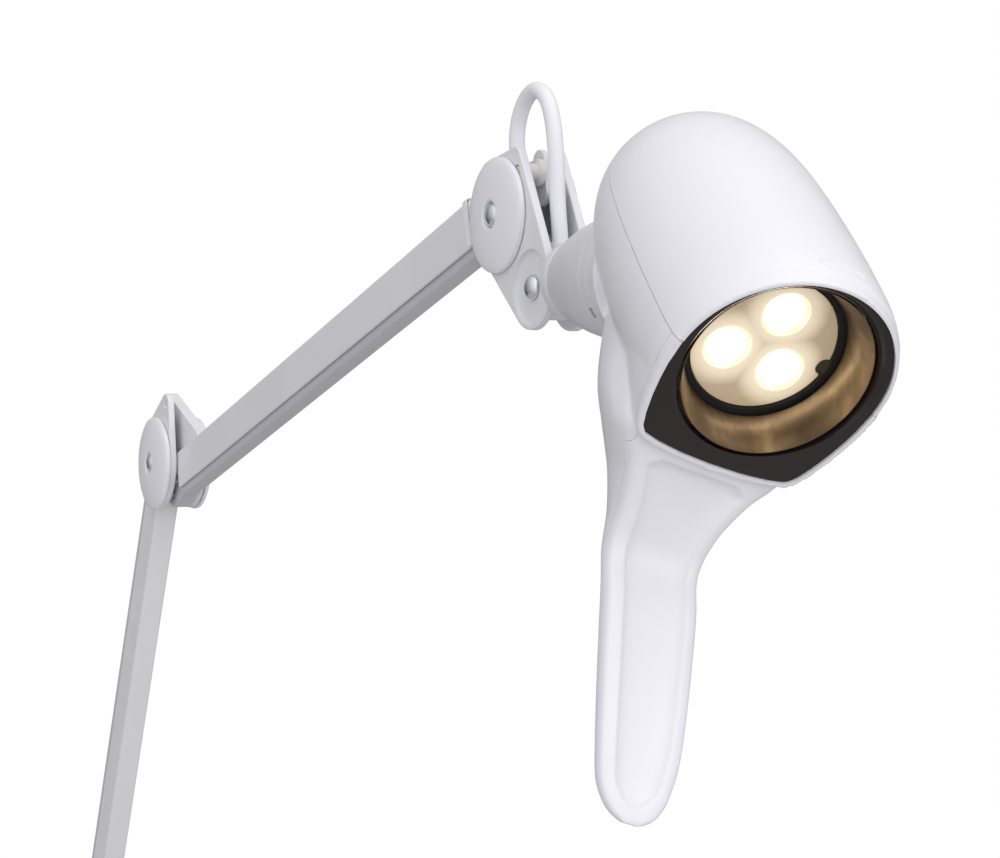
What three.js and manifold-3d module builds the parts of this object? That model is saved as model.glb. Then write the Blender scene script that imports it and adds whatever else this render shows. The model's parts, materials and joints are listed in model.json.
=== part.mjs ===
// Examination and minor-surgery light on a two-section balanced arm.
// Millimetres, +Z up, +X from the base towards the lamp head, -Y the near side.
// The origin is the centre of the underside of the base flange.
// Every arm section is a parallelogram: a channel carries the load, and a narrower
// tie channel runs inside its open side, so the elbow and the fork stay level.
import * as THREE from 'three';
import { mergeVertices } from 'three/addons/utils/BufferGeometryUtils.js';
import { ConvexGeometry } from 'three/addons/geometries/ConvexGeometry.js';
import Module from 'manifold-3d';

const wasm = await Module();
wasm.setup();

// ---------------------------------------------------------------- driving dimensions
const GAP = 0.3; // running clearance between pieces
const BASE = { flangeRadius: 50, flangeHeight: 7, socketRadius: 15, socketTop: 52, pivotHeight: 92 };
const SPIGOT = { radius: 6.35, bottom: 12 };
const ARM = { length: 435, height: 20, halfWidth: 6.3, wall: 1.4 };
const TIE = { halfWidth: 4.6, height: 11.4, wall: 1.2, belowPivot: 4, lobeRadius: 6.8 };
const LOWER_LEAN = 24.3; // degrees forward of vertical
const UPPER_RISE = 16.1; // degrees above horizontal
const LOWER_LINK = { x: -24, z: 8 }; // lower tie pivot, from the main pivot
const UPPER_LINK = { x: 12, z: -17.5 }; // upper tie pivot, from the main pivot
const CHEEK = { inner: 7, outer: 10.5 };
const AXLE = { radius: 4, screwRadius: 2.1 };
const EYE = { tongue: 3.1 }; // half width of the eyes that the ties close round
const LINK_PIN_RADIUS = 2.5;
const ELBOW_CAP_RADIUS = 25.6;
const FORK_CAP_RADIUS = 23.1;
const TILT_OFFSET = { x: 26.7, z: -30.1 }; // tilt hinge, from the fork's main pivot
const TILT_LOBE_RADIUS = 16.5;
const HEAD_DIP = 1.3; // degrees that the neck points below horizontal
const HEAD_SWIVEL = 17.3; // degrees that the head is turned about the neck
const NECK = { start: 17.2, end: 70, smallRadius: 15.5, largeRadius: 24.3, rise: 2.2, wall: 2.2 };
const FACE_ANGLE = 42; // degrees between the neck axis and the normal of the lamp's face
const FACE = { x: 178.2, z: -36.6 }; // centre of the lamp's front face, in the head's frame
const CAN_LEAN = 5.2; // degrees between the can's axis, which the optics share, and the face's normal
const SHELL = 2.5; // wall of the plastic shells
const BEZEL_RADIUS = 37.6;
const RIM = 0.8; // how far the shells stand in front of the bezel
const OPENING_RADIUS = 31.7;
const LENS = { radius: 25, depth: 18.8, thickness: 1.8, ringRadius: 27.3, cupSpacing: 12.6 };
const CABLE_RADIUS = 3.2;
const CABLE_END = { x: 4.6, z: 13.4 }; // where the cable enters the tilt block, from the tilt hinge

const rad = THREE.MathUtils.degToRad;

// ---------------------------------------------------------------- materials
const paint = (color, roughness, metalness = 0) =>
  new THREE.MeshStandardMaterial({ color, roughness, metalness });
const whitePaint = paint(0xeceaf0, 0.42);
const whitePlastic = paint(0xf0eff3, 0.35);
const nylon = paint(0xf4f2ea, 0.5);
const blackPlastic = paint(0x0b0b0c, 0.4);
const blackHousing = paint(0x161617, 0.55);
const chrome = paint(0xc9ccd0, 0.12, 1);
const zincSteel = paint(0x9aa2ab, 0.35, 1);
const springSteel = paint(0x6f7276, 0.35, 1);
const bronzeReflector = paint(0x8a6238, 0.28, 1);
const aluminium = paint(0xb9bbbd, 0.4, 1);
const clearLens = paint(0xf7f3e6, 0.08);
const ledYellow = paint(0xffe9a8, 0.4);
const boardWhite = paint(0xe9ebe6, 0.6);
const cableWhite = paint(0xf1f1f5, 0.45);
const greyButton = paint(0x8b9097, 0.45);

// ---------------------------------------------------------------- solids and booleans
function toSolid(geometry) {
  const plain = geometry.clone();
  plain.deleteAttribute('normal');
  plain.deleteAttribute('uv');
  const merged = mergeVertices(plain, 1e-4);
  return new wasm.Manifold(new wasm.Mesh({
    numProp: 3,
    vertProperties: new Float32Array(merged.attributes.position.array),
    triVerts: new Uint32Array(merged.index.array),
  }));
}

function toGeometry(solid) {
  const mesh = solid.getMesh();
  const geometry = new THREE.BufferGeometry();
  geometry.setAttribute('position', new THREE.BufferAttribute(mesh.vertProperties, 3));
  geometry.setIndex(new THREE.BufferAttribute(mesh.triVerts, 1));
  return geometry;
}

const join = (...parts) => parts.map(toSolid).reduce((all, part) => all.add(part));
const cut = (solid, ...tools) => tools.map(toSolid).reduce((left, tool) => left.subtract(tool), solid);

// ---------------------------------------------------------------- outlines and basic shapes
// Outline of the convex hull of circles [x, z, radius], as a closed Shape.
function hullOutline(circles, steps = 24) {
  const points = [];
  for (const [x, z, radius] of circles) {
    for (let i = 0; i < steps; i++) {
      const a = (2 * Math.PI * i) / steps;
      points.push(new THREE.Vector2(x + radius * Math.cos(a), z + radius * Math.sin(a)));
    }
  }
  points.sort((p, q) => p.x - q.x || p.y - q.y);
  const turn = (o, p, q) => (p.x - o.x) * (q.y - o.y) - (p.y - o.y) * (q.x - o.x);
  const half = (list) => {
    const chain = [];
    for (const p of list) {
      while (chain.length > 1 && turn(chain.at(-2), chain.at(-1), p) <= 1e-6) chain.pop();
      chain.push(p);
    }
    chain.pop();
    return chain;
  };
  return new THREE.Shape([...half(points), ...half([...points].reverse())]);
}

function addHole(shape, x, z, radius, steps = 14) {
  const hole = new THREE.Path();
  const points = [];
  for (let i = 0; i < steps; i++) {
    const a = (-2 * Math.PI * i) / steps;
    points.push(new THREE.Vector2(x + radius * Math.cos(a), z + radius * Math.sin(a)));
  }
  hole.setFromPoints(points);
  hole.closePath();
  shape.holes.push(hole);
  return shape;
}

// A plate with its outline in the XZ plane, filling y0 to y1.
function plate(shape, y0, y1) {
  const geometry = new THREE.ExtrudeGeometry(shape, { depth: y1 - y0, bevelEnabled: false, curveSegments: 12 });
  return geometry.rotateX(Math.PI / 2).translate(0, y1, 0);
}

// A turned piece about +Y, from its closed or axis-to-axis profile of [radius, height].
function turned(profile, segments = 32) {
  const points = profile.map(([r, h]) => new THREE.Vector2(r, h));
  if (THREE.ShapeUtils.area(points) < 0) points.reverse();
  return new THREE.LatheGeometry(points, segments);
}
const turnedZ = (profile, segments) => turned(profile, segments).rotateX(Math.PI / 2);
const turnedX = (profile, segments) => turned(profile, segments).rotateZ(-Math.PI / 2);

// A rod along Y, centred on x, z.
function rodY(x, z, radius, y0, y1, segments = 14) {
  return new THREE.CylinderGeometry(radius, radius, y1 - y0, segments).translate(x, (y0 + y1) / 2, z);
}

function box(x0, x1, y0, y1, z0, z1) {
  return new THREE.BoxGeometry(x1 - x0, y1 - y0, z1 - z0)
    .translate((x0 + x1) / 2, (y0 + y1) / 2, (z0 + z1) / 2);
}

// A cylinder whose rings are moved to place(angle, along, radius): a closed loft.
function loft(sectors, rings, place) {
  const geometry = new THREE.CylinderGeometry(1, 1, 1, sectors, rings);
  const position = geometry.attributes.position;
  for (let i = 0; i < position.count; i++) {
    const radius = Math.min(1, Math.hypot(position.getX(i), position.getZ(i)));
    const angle = Math.atan2(position.getZ(i), position.getX(i));
    const spot = place(angle, 0.5 - position.getY(i), radius < 0.5 ? 0 : 1);
    position.setXYZ(i, spot.x, spot.y, spot.z);
  }
  return geometry;
}

const root = new THREE.Group();

function piece(name, geometry, material, parent) {
  const mesh = new THREE.Mesh(geometry, material);
  mesh.name = name;
  parent.add(mesh);
  return mesh;
}

function groupAt(parent, x, z, tilt = 0) {
  const group = new THREE.Group();
  group.position.set(x, 0, z);
  group.rotation.y = -tilt;
  parent.add(group);
  return group;
}

// ---------------------------------------------------------------- pivots, in the XZ plane
const lowerUp = new THREE.Vector2(Math.sin(rad(LOWER_LEAN)), Math.cos(rad(LOWER_LEAN)));
const upperOut = new THREE.Vector2(Math.cos(rad(UPPER_RISE)), Math.sin(rad(UPPER_RISE)));
const basePivot = new THREE.Vector2(0, BASE.pivotHeight);
const elbowPivot = basePivot.clone().addScaledVector(lowerUp, ARM.length);
const linkPivot = elbowPivot.clone().addScaledVector(upperOut, ARM.length);
const forkPivot = linkPivot.clone().add(new THREE.Vector2(UPPER_LINK.x, UPPER_LINK.z));
const tiltPivot = forkPivot.clone().add(new THREE.Vector2(TILT_OFFSET.x, TILT_OFFSET.z));

// ---------------------------------------------------------------- pieces used at every knuckle
// Domed cover disc: flat back, straight rim, shallow dome and a recess for its screw.
function capGeometry(radius) {
  const dome = [[radius, 0], [radius, 1.5], [radius - 0.8, 2.2], [radius * 0.62, 3.9]];
  return turned([[2.5, 0], ...dome, [6, 4.6], [5.3, 1.8], [2.5, 1.8], [2.5, 0]], 24);
}

// Domed screw: head above the recess floor, shank into the axle.
function screwGeometry(shank) {
  const r = AXLE.screwRadius;
  return turned([[0, -shank], [r, -shank], [r, 2.1], [4.6, 2.1], [4.5, 2.9], [2.8, 4.1], [0, 4.5]], 16);
}

// Axle with a blind hole in each end for the screws.
function axleGeometry(halfLength) {
  const [r, s, y] = [AXLE.radius, AXLE.screwRadius + GAP, halfLength];
  return turned([[0, -y + 5], [s, -y + 5], [s, -y], [r, -y], [r, y], [s, y], [s, y - 5], [0, y - 5]], 14);
}

function capsAndScrews(prefix, parent, radius) {
  for (const [side, turn] of [['near', Math.PI], ['far', 0]]) {
    const seat = new THREE.Group();
    seat.rotation.z = turn;
    parent.add(seat);
    piece(`${prefix}_cap_${side}`, capGeometry(radius).translate(0, CHEEK.outer + GAP, 0), whitePlastic, seat);
    piece(`${prefix}_screw_${side}`, screwGeometry(4.5).translate(0, CHEEK.outer + GAP, 0), chrome, seat);
  }
}

// A side plate with the given outline circles and pin holes, each [x, z, radius].
function cheek(outline, holes, y0, y1) {
  return plate(holes.reduce((s, [x, z, r]) => addHole(s, x, z, r + GAP), hullOutline(outline, 30)), y0, y1);
}

const linkPin = (name, parent, x, z) =>
  piece(name, rodY(x, z, LINK_PIN_RADIUS, -CHEEK.outer + 0.4, CHEEK.outer - 0.4, 16), zincSteel, parent);

// ---------------------------------------------------------------- base
function buildBase() {
  const { flangeRadius: r, flangeHeight: h, socketRadius: s, socketTop: top } = BASE;
  const bore = SPIGOT.radius + 2;
  const flange = join(turnedZ([
    [0, 0], [r, 0], [r, h - 2], [r - 2, h], [s + 4, h], [s, h + 4], [s, top], [bore, top],
    [bore, SPIGOT.bottom - 1], [0, SPIGOT.bottom - 1],
  ], 32));
  const holes = [30, 150, 270].map((a) => new THREE.CylinderGeometry(2.75, 2.75, 30, 12)
    .rotateX(Math.PI / 2).translate(35 * Math.cos(rad(a)), 35 * Math.sin(rad(a)), 0));
  piece('base_flange', toGeometry(cut(flange, ...holes)), whitePaint, root);

  const sleeve = [
    [SPIGOT.radius + GAP, SPIGOT.bottom], [bore - GAP, SPIGOT.bottom], [bore - GAP, top + GAP],
    [s, top + GAP], [s, top + 2], [SPIGOT.radius + GAP, top + 2], [SPIGOT.radius + GAP, SPIGOT.bottom],
  ];
  piece('spigot_bush', turnedZ(sleeve, 20), nylon, root);

  const spigot = [[0, SPIGOT.bottom], [SPIGOT.radius, SPIGOT.bottom], [SPIGOT.radius, top + 12], [0, top + 12]];
  piece('base_spigot', turnedZ(spigot, 20), zincSteel, root);

  const knuckle = groupAt(root, basePivot.x, basePivot.y);
  const foot = top + 2 + GAP - BASE.pivotHeight; // underside of the knuckle, from its pivot
  const outline = hullOutline([[0, 0, 20], [LOWER_LINK.x, LOWER_LINK.z, 8], [0, foot + 16, 12]]);
  const body = join(
    turnedZ([[0, foot], [s, foot], [s, foot + 6], [0, foot + 6]], 20),
    box(-s, s, -CHEEK.outer, CHEEK.outer, foot + 4, foot + 12),
    plate(outline, -CHEEK.outer, -CHEEK.inner),
    plate(outline, CHEEK.inner, CHEEK.outer),
  );
  const socket = turnedZ([[0, foot - 1], [SPIGOT.radius + GAP, foot - 1], [SPIGOT.radius + GAP, foot + 10.3],
    [0, foot + 10.3]], 20);
  const fork = cut(body, socket, rodY(0, 0, AXLE.radius + GAP, -12, 12),
    rodY(LOWER_LINK.x, LOWER_LINK.z, LINK_PIN_RADIUS + GAP, -12, 12));
  piece('base_fork', toGeometry(fork), whitePaint, knuckle);
  const y = CHEEK.outer + GAP;
  const rivet = [[0, -y - 2.4], [4.6, -y - 2.2], [7, -y - 1], [7, -y], [AXLE.radius, -y], [AXLE.radius, y], [7, y],
    [7, y + 1], [4.6, y + 2.2], [0, y + 2.4]];
  piece('base_axle', turned(rivet, 20), zincSteel, knuckle);
  linkPin('base_link_pin', knuckle, LOWER_LINK.x, LOWER_LINK.z);
}

// ---------------------------------------------------------------- arm sections
// Channel section, open below: outline in (z, y), z down from the pivot line.
function channelShape(halfWidth, top, bottom, wall, openBelow) {
  const closed = openBelow ? top : bottom;
  const open = openBelow ? bottom : top;
  const s = Math.sign(open - closed);
  const r = 1.6;
  const w = halfWidth;
  return new THREE.Shape([
    [closed, -w + r], [closed + s * r * 0.3, -w + r * 0.3], [closed + s * r, -w], [open, -w], [open, -w + wall],
    [closed + s * wall, -w + wall], [closed + s * wall, w - wall], [open, w - wall], [open, w],
    [closed + s * r, w], [closed + s * r * 0.3, w - r * 0.3], [closed, w - r],
  ].map(([z, y]) => new THREE.Vector2(z, y)));
}

// Extrudes a (z, y) section along +X from x0 to x1.
function extruded(shape, x0, x1) {
  const geometry = new THREE.ExtrudeGeometry(shape, { depth: x1 - x0, bevelEnabled: false });
  const alongX = new THREE.Matrix4().set(0, 0, 1, x0, 0, 1, 0, 0, 1, 0, 0, 0, 0, 0, 0, 1);
  geometry.applyMatrix4(alongX);
  return geometry.index ? geometry : flipped(geometry);
}

// The same surface with its faces turned round.
function flipped(geometry) {
  const p = geometry.attributes.position;
  for (let i = 0; i < p.count; i += 3) {
    const [x, y, z] = [p.getX(i + 1), p.getY(i + 1), p.getZ(i + 1)];
    p.setXYZ(i + 1, p.getX(i + 2), p.getY(i + 2), p.getZ(i + 2));
    p.setXYZ(i + 2, x, y, z);
  }
  return geometry;
}

// One arm section along +X from its first pivot. The tie's pivots are at (linkX, linkZ)
// from the channel's, in the section's own frame.
function buildArm(prefix, parent, link, ends) {
  const { length: L, height: h, halfWidth: w, wall } = ARM;
  const channel = extruded(channelShape(w, 0, -h, wall, true), ends.channelStart, L - ends.channelEnd);
  piece(`${prefix}_channel`, channel, whitePaint, parent);

  const bottom = link.z - TIE.belowPivot;
  const strip = channelShape(TIE.halfWidth, bottom + TIE.height, bottom, TIE.wall, false);
  const lobeOutline = (x) =>
    hullOutline([[x, link.z, TIE.lobeRadius], [x + Math.sign(L / 2 - x) * 16, link.z - 0.5, 3.4]]);
  const lobe = (x) => plate(lobeOutline(x), -TIE.halfWidth, TIE.halfWidth);
  const tie = cut(
    join(extruded(strip, link.x + 10, L + link.x - 10), lobe(link.x), lobe(L + link.x)),
    rodY(link.x, link.z, LINK_PIN_RADIUS + GAP, -8, 8),
    rodY(L + link.x, link.z, ends.tiePinRadius + GAP, -8, 8),
  );
  piece(`${prefix}_tie`, toGeometry(tie), whitePaint, parent);

  const coil = { radius: 2.9, floor: bottom + TIE.wall + 0.4 };
  const spring = new THREE.CylinderGeometry(coil.radius, coil.radius, ends.springLength, 14)
    .rotateZ(Math.PI / 2).translate(L * 0.42, 0, coil.floor + coil.radius);
  piece(`${prefix}_spring`, spring, springSteel, parent);
}

// End fitting: an eye round its pivot at x, slim enough for the tie to close round it, and a
// strip that lies under the channel's top wall.
function armEnd(x, toward, eyeHalfWidth) {
  const under = -ARM.wall - GAP;
  const neck = hullOutline([[x, 0, 6], [x + toward * 19, under - 1.3, 1.3], [x + toward * 9, -1.4, 3.4]]);
  const [x0, x1] = [x + toward * 14, x + toward * 62].sort((a, b) => a - b);
  return join(
    plate(neck, -eyeHalfWidth, eyeHalfWidth),
    box(x0, x1, -TIE.halfWidth, TIE.halfWidth, under - 2.4, under),
  );
}

function buildLowerArm() {
  const arm = groupAt(root, basePivot.x, basePivot.y, Math.PI / 2 - rad(LOWER_LEAN));
  const link = new THREE.Vector2(LOWER_LINK.x, LOWER_LINK.z);
  const local = { x: link.dot(lowerUp), z: -Math.abs(link.cross(lowerUp)) };
  // The lower section's open side faces back, so its frame is turned over about its length.
  const section = new THREE.Group();
  section.rotation.x = Math.PI;
  arm.add(section);
  buildArm('lower_arm', section, local, {
    channelStart: 24, channelEnd: 24, tiePinRadius: LINK_PIN_RADIUS, springLength: 190,
  });
  const { length: L } = ARM;
  const baseEnd = cut(armEnd(0, 1, 6.6), rodY(0, 0, AXLE.radius + GAP, -8, 8));
  piece('lower_arm_base_end', toGeometry(baseEnd), aluminium, section);
  // The elbow end is forked, so the upper section's tongue turns on the same axle.
  const slot = box(L - 10, L + 8, -EYE.tongue - GAP, EYE.tongue + GAP, -10, 10);
  const elbowEnd = cut(armEnd(L, -1, 6.6), slot, rodY(L, 0, AXLE.radius + GAP, -8, 8));
  piece('lower_arm_elbow_end', toGeometry(elbowEnd), aluminium, section);
}

function buildUpperArm() {
  const arm = groupAt(root, elbowPivot.x, elbowPivot.y, rad(UPPER_RISE));
  const link = new THREE.Vector2(UPPER_LINK.x, UPPER_LINK.z);
  const local = { x: link.dot(upperOut), z: -Math.abs(link.cross(upperOut)) };
  buildArm('upper_arm', arm, local, {
    channelStart: 22, channelEnd: 27, tiePinRadius: AXLE.radius, springLength: 200,
  });
  const { length: L } = ARM;

  // Tongue on the shared axle, with the horn that the balance spring pulls on.
  const horn = hullOutline([[5.4, 35.4, 3.6], [1, 4, 4], [17, 3, 3], [47, 2.7, 2.2]]);
  const anchor = [13, 23];
  const elbowEnd = cut(
    join(toGeometry(armEnd(0, 1, EYE.tongue)), plate(horn, -EYE.tongue, EYE.tongue)),
    rodY(0, 0, AXLE.radius + GAP, -8, 8),
    rodY(...anchor, LINK_PIN_RADIUS + GAP, -8, 8),
    box(21.7, 60, -9, 9, -ARM.wall - GAP, GAP),
  );
  piece('upper_arm_elbow_end', toGeometry(elbowEnd), whitePaint, arm);
  piece('spring_anchor_pin', rodY(...anchor, LINK_PIN_RADIUS, -6.4, 6.4, 16), nylon, arm);

  const headEnd = cut(armEnd(L, -1, EYE.tongue), rodY(L, 0, LINK_PIN_RADIUS + GAP, -8, 8));
  piece('upper_arm_head_end', toGeometry(headEnd), aluminium, arm);

  const inside = ARM.halfWidth + GAP;
  const outside = ARM.halfWidth + 1.2;
  const collar = extruded(channelShape(outside, 1.2, -ARM.height, outside - inside, true), L - 31, L - 27.5);
  piece('upper_arm_collar', collar, whitePlastic, arm);
}

// ---------------------------------------------------------------- elbow and fork knuckles
function buildElbow() {
  const elbow = groupAt(root, elbowPivot.x, elbowPivot.y);
  const { x: lx, z: lz } = LOWER_LINK;
  const { x: ux, z: uz } = UPPER_LINK;
  const disc = [[0, 0, 24.8], [lx, lz, 7.5]];
  const holes = [[0, 0, AXLE.radius], [lx, lz, LINK_PIN_RADIUS], [ux, uz, LINK_PIN_RADIUS]];
  const near = cheek([...disc, [14, 32.5, 6]], [...holes, [15, 32.5, 2.1]], -CHEEK.outer, -CHEEK.inner);
  piece('elbow_cheek_near', near, whitePaint, elbow);
  piece('elbow_cheek_far', cheek(disc, holes, CHEEK.inner, CHEEK.outer), whitePaint, elbow);
  piece('elbow_axle', axleGeometry(CHEEK.outer - 0.3), zincSteel, elbow);
  linkPin('elbow_pin_lower', elbow, lx, lz);
  linkPin('elbow_pin_upper', elbow, ux, uz);
  capsAndScrews('elbow', elbow, ELBOW_CAP_RADIUS);
}

function buildFork() {
  const fork = groupAt(root, forkPivot.x, forkPivot.y);
  const { x: tx, z: tz } = TILT_OFFSET;
  const link = [-UPPER_LINK.x, -UPPER_LINK.z];
  const spacer = [15, 16];
  const outline = [[0, 0, 22.4], [...link, 5], [12.6, 21, 5], [35, -19.5, 5], [tx, tz, TILT_LOBE_RADIUS]];
  const holes = [[0, 0, AXLE.radius], [...link, LINK_PIN_RADIUS], [...spacer, 2.2], [tx, tz, AXLE.radius]];
  const pocket = (y0, y1) => rodY(tx, tz, 14.6, y0, y1, 32);
  const near = cut(join(cheek(outline, holes, -CHEEK.outer, -CHEEK.inner)), pocket(-12, -CHEEK.outer + 1.7));
  const far = cut(join(cheek(outline, holes, CHEEK.inner, CHEEK.outer)), pocket(CHEEK.outer - 1.7, 12));
  piece('fork_cheek_near', toGeometry(near), whitePaint, fork);
  piece('fork_cheek_far', toGeometry(far), whitePaint, fork);
  piece('fork_axle', axleGeometry(CHEEK.outer - 0.3), zincSteel, fork);
  linkPin('fork_link_pin', fork, ...link);
  capsAndScrews('fork', fork, FORK_CAP_RADIUS);

  const y = CHEEK.inner - GAP;
  const guidePin = join(rodY(...spacer, 2.2, -CHEEK.outer + 0.4, CHEEK.outer - 0.4), rodY(...spacer, 3.6, -y, 0),
    rodY(...spacer, 5.4, -2.4, 0.2, 18));
  piece('fork_spacer', toGeometry(guidePin), nylon, fork);
  const web = cheek([[12, 20.6, 4.8], [14, 8, 5]], [[...spacer, 2.2]], 0.6, 2.8);
  piece('fork_web', web, whitePaint, fork);
  const brace = new THREE.Shape([[10.5, 12], [10.5, -8.5], [24.5, -8.5], [24.5, 6]]
    .map(([x, z]) => new THREE.Vector2(x, z)));
  piece('fork_brace', plate(brace, 3.1, 4.9), zincSteel, fork);
}

// ---------------------------------------------------------------- neck
function buildNeck() {
  const neck = groupAt(root, tiltPivot.x, tiltPivot.y, -rad(HEAD_DIP));
  const inner = CHEEK.inner - GAP;
  const gland = new THREE.CylinderGeometry(5.2, 5.8, 14, 20)
    .rotateX(Math.PI / 2).translate(CABLE_END.x, 0, CABLE_END.z - 3);
  const glandHole = new THREE.CylinderGeometry(CABLE_RADIUS + GAP, CABLE_RADIUS + GAP, 12, 20)
    .rotateX(Math.PI / 2).translate(CABLE_END.x, 0, CABLE_END.z + 3);
  const block = cut(
    join(
      plate(hullOutline([[0, 0, 12.5], [7, 1, 9]]), -inner, inner),
      turnedX([[0, 4], [6.2, 4], [6.2, 28], [0, 28]], 20).translate(0, 0, NECK.rise),
      gland,
    ),
    rodY(0, 0, AXLE.radius + GAP, -12, 12),
    glandHole,
  );
  piece('tilt_block', toGeometry(block), whitePaint, neck);

  const { start, end, smallRadius: r0, largeRadius: r1, wall } = NECK;
  // The shroud swells quickly behind its flange and then flattens towards the head.
  const swell = (t) => r0 + (r1 - r0) * (1 - (1 - t) ** 2);
  const along = (t) => start + 6 + (end - start - 7) * t;
  const stations = [0.1, 0.25, 0.4, 0.6, 0.8, 1];
  const outside = stations.map((t) => [swell(t), along(t)]);
  const inside = stations.map((t) => [swell(t) - wall, along(t)]).reverse();
  const cone = [
    [6.6, start], [r0, start], [r0, start + 4.6], [r0 - 0.8, start + 5.2], [r0 - 0.2, start + 6],
    ...outside, [r1 - 0.4, end], [r1 - wall, end],
    ...inside.slice(1), [r0 - 2.6, start + 6], [6.6, start + 3], [6.6, start],
  ];
  piece('neck_cone', turnedX(cone, 28).translate(0, 0, NECK.rise), whitePaint, neck);
  const shaft = [[3.4, 28.4], [5.4, 28.4], [5.4, end + 10], [3.4, end + 10], [3.4, 28.4]];
  piece('swivel_shaft', turnedX(shaft, 16).translate(0, 0, NECK.rise), zincSteel, neck);

  const halfLength = CHEEK.outer - 1.7 - 0.3;
  piece('tilt_axle', axleGeometry(halfLength), zincSteel, neck);
  for (const [side, turn] of [['near', Math.PI], ['far', 0]]) {
    const seat = new THREE.Group();
    seat.rotation.z = turn;
    neck.add(seat);
    piece(`tilt_screw_${side}`, screwGeometry(3).translate(0, CHEEK.outer - 1.7 + GAP - 2.1, 0), chrome, seat);
  }
}

// ---------------------------------------------------------------- head shells
// Sections of the spine and handle, from the neck down to the tip, in the head's frame:
// depth below the neck, rear, widest point, front, half width, roundness of the rear.
const SPINE = [
  [0, 74, 110, 130, 24, 2.2], [25, 76, 122, 142, 29, 1.9], [46, 84, 130, 149, 33, 1.6],
  [60, 92, 140, 151.5, 33, 1.5], [67, 97, 141.5, 149, 29.5, 1.6], [75, 102.5, 139, 145, 24, 1.8],
  [88, 111, 133, 139.3, 19.4, 2], [101, 120, 130, 136, 18.1, 2.2], [114, 127, 136, 142, 17.9, 2.2],
  [128, 133, 142, 147.6, 17.5, 2.2], [147, 141.5, 149.6, 154.8, 16.7, 2.2], [163, 148.5, 155.6, 160.2, 15.6, 2.2],
  [174, 152.7, 158.3, 162.7, 13.8, 2.1], [180, 155.3, 160.3, 164.2, 11.2, 2], [184, 158, 161.9, 165, 7.6, 2],
  [186.2, 160.8, 162.9, 165.2, 3.2, 2],
];

// Reads a column of SPINE at any depth below the neck.
function spineAt(depth, column) {
  const last = SPINE.length - 1;
  let i = 0;
  while (i < last - 1 && SPINE[i + 1][0] < depth) i += 1;
  const [a, b] = [SPINE[i], SPINE[i + 1]];
  const t = THREE.MathUtils.clamp((depth - a[0]) / (b[0] - a[0]), 0, 1);
  return THREE.MathUtils.lerp(a[column], b[column], t);
}

function spineGeometry(inset, depths, frontColumn) {
  return loft(26, depths.length - 1, (angle, t, radius) => {
    const depth = depths[Math.round(t * (depths.length - 1))];
    const rear = spineAt(depth, 1) + inset;
    const middle = spineAt(depth, 2);
    const front = Math.max(spineAt(depth, frontColumn), middle + 0.2);
    const width = Math.max(spineAt(depth, 4) - inset, 1);
    const [c, s] = [Math.cos(angle), Math.sin(angle)];
    const ahead = s > 0;
    const power = 2 / (ahead ? 5 : spineAt(depth, 5));
    const x = middle + (ahead ? front - middle : middle - rear) * Math.sign(s) * Math.abs(s) ** power * radius;
    const y = width * Math.sign(c) * Math.abs(c) ** power * radius;
    return new THREE.Vector3(x, y, -depth);
  });
}

// From the face's frame (x up in the face, y across, z back into the lamp) to the head's, and
// from the can's frame, which leans from it.
const lampFrame = new THREE.Matrix4()
  .makeTranslation(FACE.x, 0, FACE.z)
  .multiply(new THREE.Matrix4().makeRotationY(-rad(90 - FACE_ANGLE)));
const canFrame = lampFrame.clone().multiply(new THREE.Matrix4().makeRotationY(-rad(CAN_LEAN)));

const CAN = [
  [-6, 38.9], [-0.5, 39.6], [2, 40.8], [6, 41.5], [12, 42], [34, 42.5], [60, 42.2], [80, 41.2], [94, 39.6], [105, 37.3],
  [115, 33.8], [123, 28.6], [128.5, 21.5], [131.6, 12], [132.6, 0],
];

function canGeometry(inset, start, segments = 38) {
  const points = CAN.filter(([z]) => z > start)
    .map(([z, r]) => [Math.max(r - inset, 0), z > 90 ? z - inset * ((z - 90) / 43) : z]);
  return turnedZ([[0, start], [points[0][0], start], ...points], segments).applyMatrix4(canFrame);
}

// Everything in front of the shells' front edge.
const beforeFace = () => box(-80, 80, -80, 80, -60, -RIM).applyMatrix4(lampFrame);

// Half outline of the face below its widest line: a rounded shield, scaled by its margin.
function shieldPoints(margin) {
  const side = [[0, 37.8], [-9, 37.3], [-15.3, 36.3], [-22, 34.8], [-29, 32.7], [-34, 30.6], [-36.8, 28],
    [-38.4, 21.5], [-39.5, 12], [-39.9, 0]];
  const grown = side.map(([u, s]) => {
    const length = Math.hypot(u, s);
    return [u * (1 + margin / length), s * (1 + margin / length)];
  });
  return [...grown, ...grown.slice(0, -1).reverse().map(([u, s]) => [u, -s])];
}

function shieldBlock(margin, z0, z1, backRadius, zBack) {
  const points = [];
  for (const [u, s] of shieldPoints(margin)) {
    points.push(new THREE.Vector3(u, s, z0), new THREE.Vector3(u, s, z1));
  }
  for (let i = 0; i <= 16; i++) {
    const a = Math.PI / 2 + (Math.PI * i) / 16;
    points.push(new THREE.Vector3(backRadius * Math.cos(a), backRadius * Math.sin(a), zBack));
  }
  return new ConvexGeometry(points).applyMatrix4(lampFrame);
}

// Everything in front of the parting line of the handle and face rim, moved back by shift.
function partingBlock(shift) {
  const line = SPINE.filter(([depth]) => depth > 66).map(([depth, , middle]) => [middle - shift, -depth]);
  const rim = [[5, 3], [5, -44]].map(([z, u]) => new THREE.Vector3(u, 0, z + shift).applyMatrix4(lampFrame))
    .map((p) => [p.x, p.z]);
  const outline = [...rim, ...line, [260, -200], [260, 20]];
  return plate(new THREE.Shape(outline.map(([x, z]) => new THREE.Vector2(x, z))), -60, 60);
}

function halfSpace(side) {
  const [x0, x1] = side > 0 ? [GAP / 2, 90] : [-260, -GAP / 2];
  return box(x0, x1, -80, 80, -90, 190).applyMatrix4(canFrame);
}

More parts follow.
